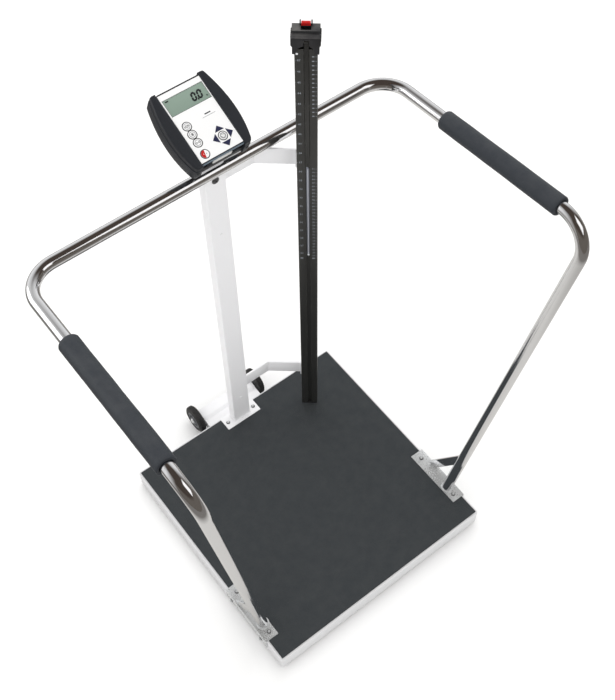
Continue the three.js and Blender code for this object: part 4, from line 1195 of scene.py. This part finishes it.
class BuildIndicator(bpy.types.Operator):
    """Display housing: shells, bumpers, face, glass and the parts at its lower end"""
    bl_idname = "handrail_scale.indicator"
    bl_label = "Display"

    def execute(self, context):
        self.front_shell()
        self.face()
        for side, sign in SIDES:
            self.bumper(side, FACE_PLACE @ (MIRROR if sign < 0 else Matrix()))
            self.knob(side, sign)
        self.lower_end()
        self.back()
        return {"FINISHED"}

    def front_shell(self):
        h, v = FACE_HALF, SHELL_HIGH
        shape = pierced(oblong(-h, -v, h, v), [oblong(1.8 - h, 1.8 - v, h - 1.8, v - 1.8)], -20, -1.5)
        soften(shape, 0.7, 2, 50)
        piece = Piece("display_front_shell").add(shape, slate_plastic(), FACE_PLACE)
        piece.add(box((1 - h, v - 1.4, -3), (h - 1, v + 1.2, 0.5), 0.4, 2), black_plastic(), FACE_PLACE)
        piece.done("indicator", "slate_plastic", "indicator_front_shell")

    def face(self):
        h, v = FACE_HALF - GAP, FACE_HIGH
        holes = [round_points(x, y, 7.9) for x, y in ROUND_KEYS.values()]
        holes += [arrow_points(turn, 0.4) for turn in ARROW_KEYS.values()]
        sheet = Piece("face_membrane").add(pierced(oblong(-h, -v, h, v), [oblong(*WINDOW), *holes], -1.2, 0),
                                           face_film(), FACE_PLACE)
        sheet.done("indicator", "face_film", "indicator_faceplate")

        glass_plate = Piece("display_glass")
        glass_plate.add(slab(oblong(-42.2, 27.8, 43.2, 61.2), -1.4, -0.5, 0, 0.2, 2), glass(), FACE_PLACE)
        glass_plate.add(slab(oblong(37, 33, 39.4, 35.6), -0.5, -0.36), dark_print(), FACE_PLACE)
        lean = tan(radians(8))
        for x in (14.6, 27):
            for a, b in DIGIT_BARS:
                glass_plate.add(slab(segment_points(a, b, x, 43, lean), -0.5, -0.36), dark_print(),
                                FACE_PLACE)
        glass_plate.add(slab(round_points(20.4, 35, 1.7, 16), -0.5, -0.36), dark_print(), FACE_PLACE)
        glass_plate.add(box((-38.5, 56.4, -0.5), (-32, 58.8, -0.36)), dark_print(), FACE_PLACE)
        glass_plate.done("indicator", "lcd_green")

        prints = Piece("face_prints")
        flat = FACE_PLACE @ at(0, 0, -0.05)
        prints.add(box((12.5, 3.4, 0), (25, 5.6, 0.14)), dark_print(), flat)
        prints.add(box((5, -0.6, 0), (33, 0, 0.14)), grey_print(), flat)
        for x, y in ROUND_KEYS.values():
            prints.add(hollow_disc(9.3, 7.9, 0, 0.2), dark_print(), flat @ at(x, y, 0))
        x0, y0, x1, y1 = WINDOW
        for low, high in (((x0 - 0.5, y0 - 0.5), (x1 + 0.5, y0)), ((x0 - 0.5, y1), (x1 + 0.5, y1 + 0.5)),
                          ((x0 - 0.5, y0), (x0, y1)), ((x1, y0), (x1 + 0.5, y1))):
            prints.add(box((*low, 0), (*high, 0.14)), dark_print(), flat)
        prints.done("indicator", "face_film")

    def bumper(self, side, place):
        x = FACE_HALF + GAP
        outer = [(x, -77), (x, -81), (x + 10, -81), (x + 14.4, -79.6), (x + 17.2, -75.5)]
        bow = [curve_point((x + 17.2, -75.5), (x + 37.6, -8), (x + 14.4, 75), i / 22) for i in range(1, 22)]
        end = [(x + 14.4, 75), (x + 13, 78.6), (x + 9.5, 80), (x, 80)]
        outline = outer + bow + end
        front = slab([(px - 1.1 if px > x + 1 else px, py * 0.995) for px, py in outline], -9.6, 3, 0, 0, 3)
        rim = [e for e in front.edges if all(v.co.z > 2.9 for v in e.verts)]
        round_edges(front, rim, 3.4, 5)
        rear = slab(outline, -41, -10.2, 0, 0, 3)
        rim = [e for e in rear.edges if abs(e.verts[0].co.z - e.verts[1].co.z) < 0.01]
        round_edges(rear, rim, 1.4, 3)
        piece = Piece("bumper_" + side).add(front, slate_plastic(), place).add(rear, slate_plastic(), place)
        core = slab([(px - 2.4 if px > x + 1 else px, py * 0.985) for px, py in outline], -12, -8)
        piece.add(core, black_plastic(), place)
        piece.add(disc(2.4, 0, 1.4, 0.3, 24), black_plastic(), place @ at(x + 8, -80.4, -22)
                  @ FACING_FRONT)
        piece.done("indicator", "slate_plastic", "indicator_bumper_" + side)

    def knob(self, side, sign):
        outline = [(6.4 + 0.6 * cos(10 * a)) * Vector((cos(a),
                                                       sin(a))) for a in (tau * i / 80 for i in range(80))]
        place = FACE_PLACE @ at(0, TILT_Y,
                                TILT_Z) @ (ALONG_X if sign > 0 else Matrix.Rotation(-pi / 2, 4, "Y"))
        piece = Piece("clamp_knob_" + side).add(slab(outline, 29.8, 40.4, 0, 0.6, 2), black_plastic(), place)
        piece.add(disc(3, 2, 32), bright_zinc(), place)
        piece.add(disc(4, 40, 40.8, 0.3), black_plastic(), place)
        piece.done("tilt_knob_" + side, "black_plastic", "tilt_knob_" + side)

    def lower_end(self):
        y = -SHELL_HIGH
        piece = Piece("display_lower_end")
        piece.add(box((-45.6, y - 2.6, -5.4), (45.6, y - GAP, -1.2), 0.9), lip_plastic(), FACE_PLACE)
        piece.add(box((-45.6, y - 2, -38), (45.6, y - GAP, -19.5), 0.8), black_plastic(), FACE_PLACE)
        for x in (-31, 28):
            piece.add(bar((x - 6, y - 2.4, -12), (x + 6, y - 2.4, -12), 3.4, 0.8), slate_plastic(),
                      FACE_PLACE)
        piece.add(box((-22, y - 3.2, -18.5), (20, y - 1, -7), 0.7), plate_light(), FACE_PLACE)
        for x in (-17, 15):
            place = FACE_PLACE @ at(x, y - 3.1, -12.7) @ FACING_FRONT
            piece.add(dome_head(1.7, 0.8), bright_zinc(), place)
        piece.done("indicator", "slate_plastic")

    def back(self):
        piece = Piece("display_back_fittings")
        back = FACE_PLACE @ at(0, 0, SHELL_BACK) @ UPSIDE_DOWN
        piece.add(slab(oblong(-34, -62, 34, -8), -0.2, 1.6, 4, 0.5, 2), black_plastic(), back)
        for i in range(7):
            piece.add(box((-28, -57 + 3.4 * i, 1.4), (28, -55.6 + 3.4 * i, 2.3), 0.4, 2), black_plastic(),
                      back)
        for x in (-39, 39):
            for y in (-68, 68):
                piece.add(socket_head(2.8, 1.8), bright_zinc(), back @ at(x, y, -0.1))
        for i in range(6):
            piece.add(box((-20 + 8 * i - 1, -5, -0.3), (-20 + 8 * i + 1, 3, 0.4), 0.3, 2), dark_print(), back)
        piece.done("indicator", "black_plastic")


DIGIT_BARS = [((-3.4, 7.2), (3.4, 7.2)), ((3.4, 7), (3.4, 0.2)), ((3.4, -0.2), (3.4, -7)),
              ((3.4, -7.2), (-3.4, -7.2)), ((-3.4, -7), (-3.4, -0.2)), ((-3.4, 0.2), (-3.4, 7))]


def segment_points(start, end, x, y, lean):
    """The six corners of one bar of a digit, leaning to the right."""
    a, b = Vector(start), Vector(end)
    along = (b - a).normalized()
    side = Vector((-along.y, along.x)) * 1.8
    near, far = a + along * 0.9, b - along * 0.9
    ring = [a, near - side, far - side, b, far + side, near + side]
    return [(x + p.x + lean * p.y, y + p.y) for p in ring]


def curve_point(a, b, c, t):
    """A point of the arc from a to c drawn towards b."""
    return tuple((1 - t) ** 2 * p + 2 * t * (1 - t) * q + t * t * r for p, q, r in zip(a, b, c))


def arrow_points(turn, grow):
    angle = radians(turn)
    points = [(-9.5 - grow, 11.5 - grow), (9.5 + grow, 11.5 - grow), (0, 21.5 + 1.6 * grow)]
    return [(ENTER_KEY[0] + x * cos(angle) - y * sin(angle), ENTER_KEY[1] + x * sin(angle) + y * cos(angle))
            for x, y in points]


class BuildKeys(bpy.types.Operator):
    """Nine keys of the display"""
    bl_idname = "handrail_scale.keys"
    bl_label = "Keys"

    def execute(self, context):
        for name, (x, y) in ROUND_KEYS.items():
            place = FACE_PLACE @ at(x, y, 0)
            piece = Piece(name + "_cap")
            profile = [(0, -2.4), (7.7, -2.4), (7.7, 0.3), (7.4, 0.6), (6.9, 0.7), (0, 0.74)]
            piece.add(turned(profile), face_film(), place)
            self.icon(name, piece, place @ at(0, 0, 0.68))
            piece.done(name, "power_key" if name == "key_power" else "face_film", name)
        for name, turn in ARROW_KEYS.items():
            shape = slab(arrow_points(turn, 0), -2.4, 0.8, 0, 0.4, 2)
            Piece(name + "_cap").add(shape, navy_print(), FACE_PLACE).done(name, "arrow_navy", name)
        return {"FINISHED"}

    def icon(self, name, piece, place):
        if name == "key_power":
            half = [(7.6 * cos(a), 7.6 * sin(a)) for a in (radians(90 + 180 * i / 24) for i in range(25))]
            slanted = place @ at(0, 0, -0.4) @ Matrix.Rotation(radians(-12), 4, "Z")
            piece.add(slab(half, 0, 0.62), red_plastic(), slanted)
            for x, look in ((-2.8, face_film()), (2.8, dark_print())):
                piece.add(box((x - 0.4, -1.2, 0.1), (x + 0.4, 1.2, 0.72)), look, slanted)
            return
        piece.add(hollow_disc(5.8, 5.0, -0.12, 0.2), grey_print(), place)
        if name == "key_units":
            piece.add(hollow_disc(2.9, 2.2, 0, 0.17, 24), dark_print(), place)
            piece.add(box((-4.4, -0.4, 0), (4.4, 0.4, 0.17)), dark_print(), place)
        elif name == "key_hold":
            for y in (-1.7, 0, 1.7):
                piece.add(box((-2.6, y - 0.4, 0), (2.6, y + 0.4, 0.17)), dark_print(), place)
            piece.add(box((-0.4, -3, 0), (0.4, 3, 0.17)), dark_print(), place)
        elif name == "key_zero":
            for x in (-2.4, 2.4):
                piece.add(hollow_disc(1.9, 1.2, 0, 0.17, 20), dark_print(), place @ at(x, 0, 0))
        else:
            piece.add(hollow_disc(4.4, 3.7, 0, 0.17, 32), dark_print(), place)
            for turn in range(0, 360, 90):
                arm = place @ Matrix.Rotation(radians(turn + 20), 4, "Z")
                piece.add(box((1.2, -0.35, 0), (2.8, 0.35, 0.17)), dark_print(), arm)


class BuildUnderside(bpy.types.Operator):
    """Levelling feet and the fastenings under the platform"""
    bl_idname = "handrail_scale.underside"
    bl_label = "Underside"

    def execute(self, context):
        for corner, (sx, sy) in CORNERS.items():
            place = at(sx * 262, sy * 236, 0)
            pad = turned([(0, -60), (16.6, -60), (17.4, -59.4), (18, -57), (17.6, -56), (13.4, -51.4),
                          (9, -50),
                          (0, -50)], 48)
            foot = Piece("foot_" + corner).add(pad, black_plastic(), place)
            foot.add(hex_head(8, 5.4), bright_zinc(), place @ at(0, 0, -50))
            thread = [(0, -46)]
            for i in range(11):
                thread += [(4.4, -45.6 + 2 * i), (4.9, -44.6 + 2 * i)]
            foot.add(turned([*thread, (4.4, -24.3), (0, -24.3)], 24), bright_zinc(), place)
            foot.done("foot_" + corner, "foot_black", "levelling_foot_" + corner)
            cell = Piece("cell_screws_" + corner)
            for dx in (150, 172):
                cell.add(socket_head(4.4, 3.6), bright_zinc(),
                         at(sx * dx, sy * 236, -39.4) @ UPSIDE_DOWN)
            cell.done("base", "zinc_plate")
        lid = Piece("junction_lid")
        lid.add(slab(oblong(-50, 95, 50, 145), -33.8, -32, 4, 0.5, 2), box_grey())
        for x in (-44, 44):
            for y in (101, 139):
                lid.add(dome_head(3, 1.4), bright_zinc(), at(x, y, -33.8) @ UPSIDE_DOWN)
        for x in (-30, 0, 30):
            lid.add(bar((x, 89.8, -20), (x, 80, -20), 5.4, 0.8), black_plastic())
            lid.add(bar((x, 80, -20), (x, 77, -20), 3.6, 0.6), black_plastic())
        lid.done("base", "box_grey")
        return {"FINISHED"}


class DressFrame(bpy.types.Operator):
    """Finishes for the solids that show as they are"""
    bl_idname = "handrail_scale.dress"
    bl_label = "Frame finishes"

    def execute(self, context):
        looks = {
            "column_post": white_paint(), "base_frame": steel(), "junction_box": box_grey(),
            "rod_inner_profile": anodised(), "indicator_rear_shell": black_plastic(),
            "indicator_yoke": black_plastic(), "main_board": board_green(), "battery_pack": black_plastic(),
            "lcd_module": glass(),
        }
        looks.update({"load_cell_" + corner: aluminium() for corner in CORNERS})
        for name, look in looks.items():
            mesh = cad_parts[name].data
            mesh.materials.clear()
            mesh.materials.append(look)
        return {"FINISHED"}


class SetStage(bpy.types.Operator):
    """Floor, soft light and camera"""
    bl_idname = "handrail_scale.stage"
    bl_label = "Stage"

    def execute(self, context):
        self.floor()
        self.sky()
        s = sizes("stage")
        self.lamp("overhead light", (1.0, 1.3, 3.4), (0, 0, 0.3), 2.4, s.key).visible_glossy = False
        self.lamp("side light", (-3.0, -1.6, 2.2), (0, 0, 0.5), 1.8, s.key * 0.2).visible_glossy = False
        self.lamp("front panel", (0.85, -1.25, 2.35), (0, 0.25, 0.95), 1.3, 5.5).visible_diffuse = False
        self.lamp("rear panel", (-1.9, 2.0, 1.6), (0, 0, 0.95), 1.9, 11).visible_diffuse = False
        self.camera(s)
        return {"FINISHED"}

    def floor(self):
        bm = bmesh.new()
        bmesh.ops.create_grid(bm, x_segments=8, y_segments=8, size=4, matrix=at(0, 0, (FLOOR_Z - 0.1) * MM))
        mesh = bpy.data.meshes.new("studio_floor")
        bm.to_mesh(mesh)
        bm.free()
        paper = finish("studio floor", sizes("stage").floor, (0.8, 0.95), grain=(300, 0.02, 0.0001),
                       drift=(0.01, 1.5, 0.004, 200), specular=0.1)
        tree = paper.node_tree
        base = tree.nodes["Principled BSDF"].inputs["Base Color"]
        # Seen in reflections only, the floor turns grey and darkens with distance from the middle: a painted
        # reflection of a dimmer floor falling into shade.
        place = add_node(tree, "TexCoord")
        reach = add_node(tree, "VectorMath", {0: place.outputs["Object"]}, operation="LENGTH")
        far = add_node(tree, "MapRange", {"Value": reach.outputs["Value"], "From Min": 0.8, "From Max": 1.7})
        reflected_floor_shade = add_node(tree, "Mix", {"Factor": far.outputs[0], 6: (0.62, 0.61, 0.59, 1),
                                       7: (0.18, 0.17, 0.16, 1)}, data_type="RGBA")
        ray = add_node(tree, "LightPath")
        seen = add_node(tree, "Mix", {"Factor": ray.outputs["Is Glossy Ray"], 6: base.links[0].from_socket,
                                      7: reflected_floor_shade.outputs[2]}, data_type="RGBA")
        tree.links.new(seen.outputs[2], base)
        mesh.materials.append(paper)
        made = bpy.data.objects.new("studio_floor", mesh)
        bpy.context.scene.collection.objects.link(made)

    def sky(self):
        world = bpy.data.worlds.new("soft studio")
        bpy.context.scene.world = world
        world.use_nodes = True
        tree = world.node_tree
        back = tree.nodes["Background"]
        place = add_node(tree, "TexCoord")
        split = add_node(tree, "SeparateXYZ", {0: place.outputs["Generated"]})
        dark, dim = (0.06, 0.046, 0.038), (0.13, 0.115, 0.1)
        front = self.ramp(tree, split.outputs["Z"], ((0.0, dim), (0.3, dim), (0.5, dark), (1.0, dark)))
        rear = self.ramp(tree, split.outputs["Z"], (
            (0.0, (0.8, 0.8, 0.8)), (0.3, (0.85, 0.85, 0.85)), (0.66, (0.6, 0.6, 0.6)), (0.83, dark),
            (1.0, dark)))
        depth = add_node(tree, "MapRange", {"Value": split.outputs["Y"], "From Min": -0.15, "From Max": 0.35})
        mirrored = add_node(tree, "Mix", {"Factor": depth.outputs[0], 6: front, 7: rear}, data_type="RGBA")
        ray = add_node(tree, "LightPath")
        even = add_node(tree, "Mix", {"Factor": ray.outputs["Is Glossy Ray"], 6: (1.0, 0.995, 0.985, 1),
                                      7: mirrored.outputs[2]}, data_type="RGBA")
        tree.links.new(even.outputs[2], back.inputs["Color"])
        back.inputs["Strength"].default_value = 0.96

    def ramp(self, tree, value, stops):
        made = add_node(tree, "ValToRGB", {0: value})
        elements = made.color_ramp.elements
        for position, _ in stops[1:-1]:
            elements.new(position)
        elements[-1].position = stops[-1][0]
        for element, (position, tint) in zip(elements, stops):
            element.position = position
            element.color = (*tint, 1)
        return made.outputs[0]

    def lamp(self, name, place, target, side, power):
        lamp = bpy.data.lights.new(name, "AREA")
        lamp.shape = "SQUARE"
        lamp.size = side
        lamp.energy = power
        made = bpy.data.objects.new(name, lamp)
        made.location = place
        made.rotation_euler = (Vector(target) - Vector(place)).to_track_quat("-Z", "Y").to_euler()
        bpy.context.scene.collection.objects.link(made)
        return made

    def camera(self, s):
        lens = bpy.data.cameras.new("camera")
        lens.lens = s.focal
        lens.sensor_width = 36
        lens.sensor_fit = "AUTO"
        lens.clip_end = 100
        made = bpy.data.objects.new("camera", lens)
        turn = Euler([radians(angle) for angle in CAMERA_ANGLES]).to_matrix().to_4x4()
        made.matrix_world = Matrix.Translation(CAMERA_PLACE) @ turn
        bpy.context.scene.collection.objects.link(made)
        bpy.context.scene.camera = made
        bpy.context.scene.view_settings.view_transform = "Standard"


OPERATORS = (SetStage, DressFrame, BuildPlatform, BuildColumnDetails, BuildHandrail, BuildGrips, BuildWheels,
             BuildRod, BuildHead, BuildIndicator, BuildKeys, BuildUnderside)


class ScalePanel(bpy.types.Panel):
    """Lists the pieces and their sizes"""
    bl_idname = "VIEW3D_PT_handrail_scale"
    bl_label = "Handrail scale"
    bl_space_type = "VIEW_3D"
    bl_region_type = "UI"
    bl_category = "Scale"

    def draw(self, context):
        for operator in OPERATORS:
            self.layout.operator(operator.bl_idname)
        for name, group in PROPERTY_GROUPS.items():
            column = self.layout.column(heading=name.capitalize())
            for key in group.__annotations__:
                column.prop(sizes(name), key)


CLASSES = (*PROPERTY_GROUPS.values(), *OPERATORS, ScalePanel)


def register():
    for made in CLASSES:
        bpy.utils.register_class(made)
    for name, group in PROPERTY_GROUPS.items():
        setattr(bpy.types.Scene, "scale_" + name, PointerProperty(type=group))


def unregister():
    for name in PROPERTY_GROUPS:
        delattr(bpy.types.Scene, "scale_" + name)
    for made in reversed(CLASSES):
        bpy.utils.unregister_class(made)


def main():
    register()
    for operator in OPERATORS:
        getattr(bpy.ops.handrail_scale, operator.bl_idname.split(".")[1])()


if __name__ == "__main__":
    main()
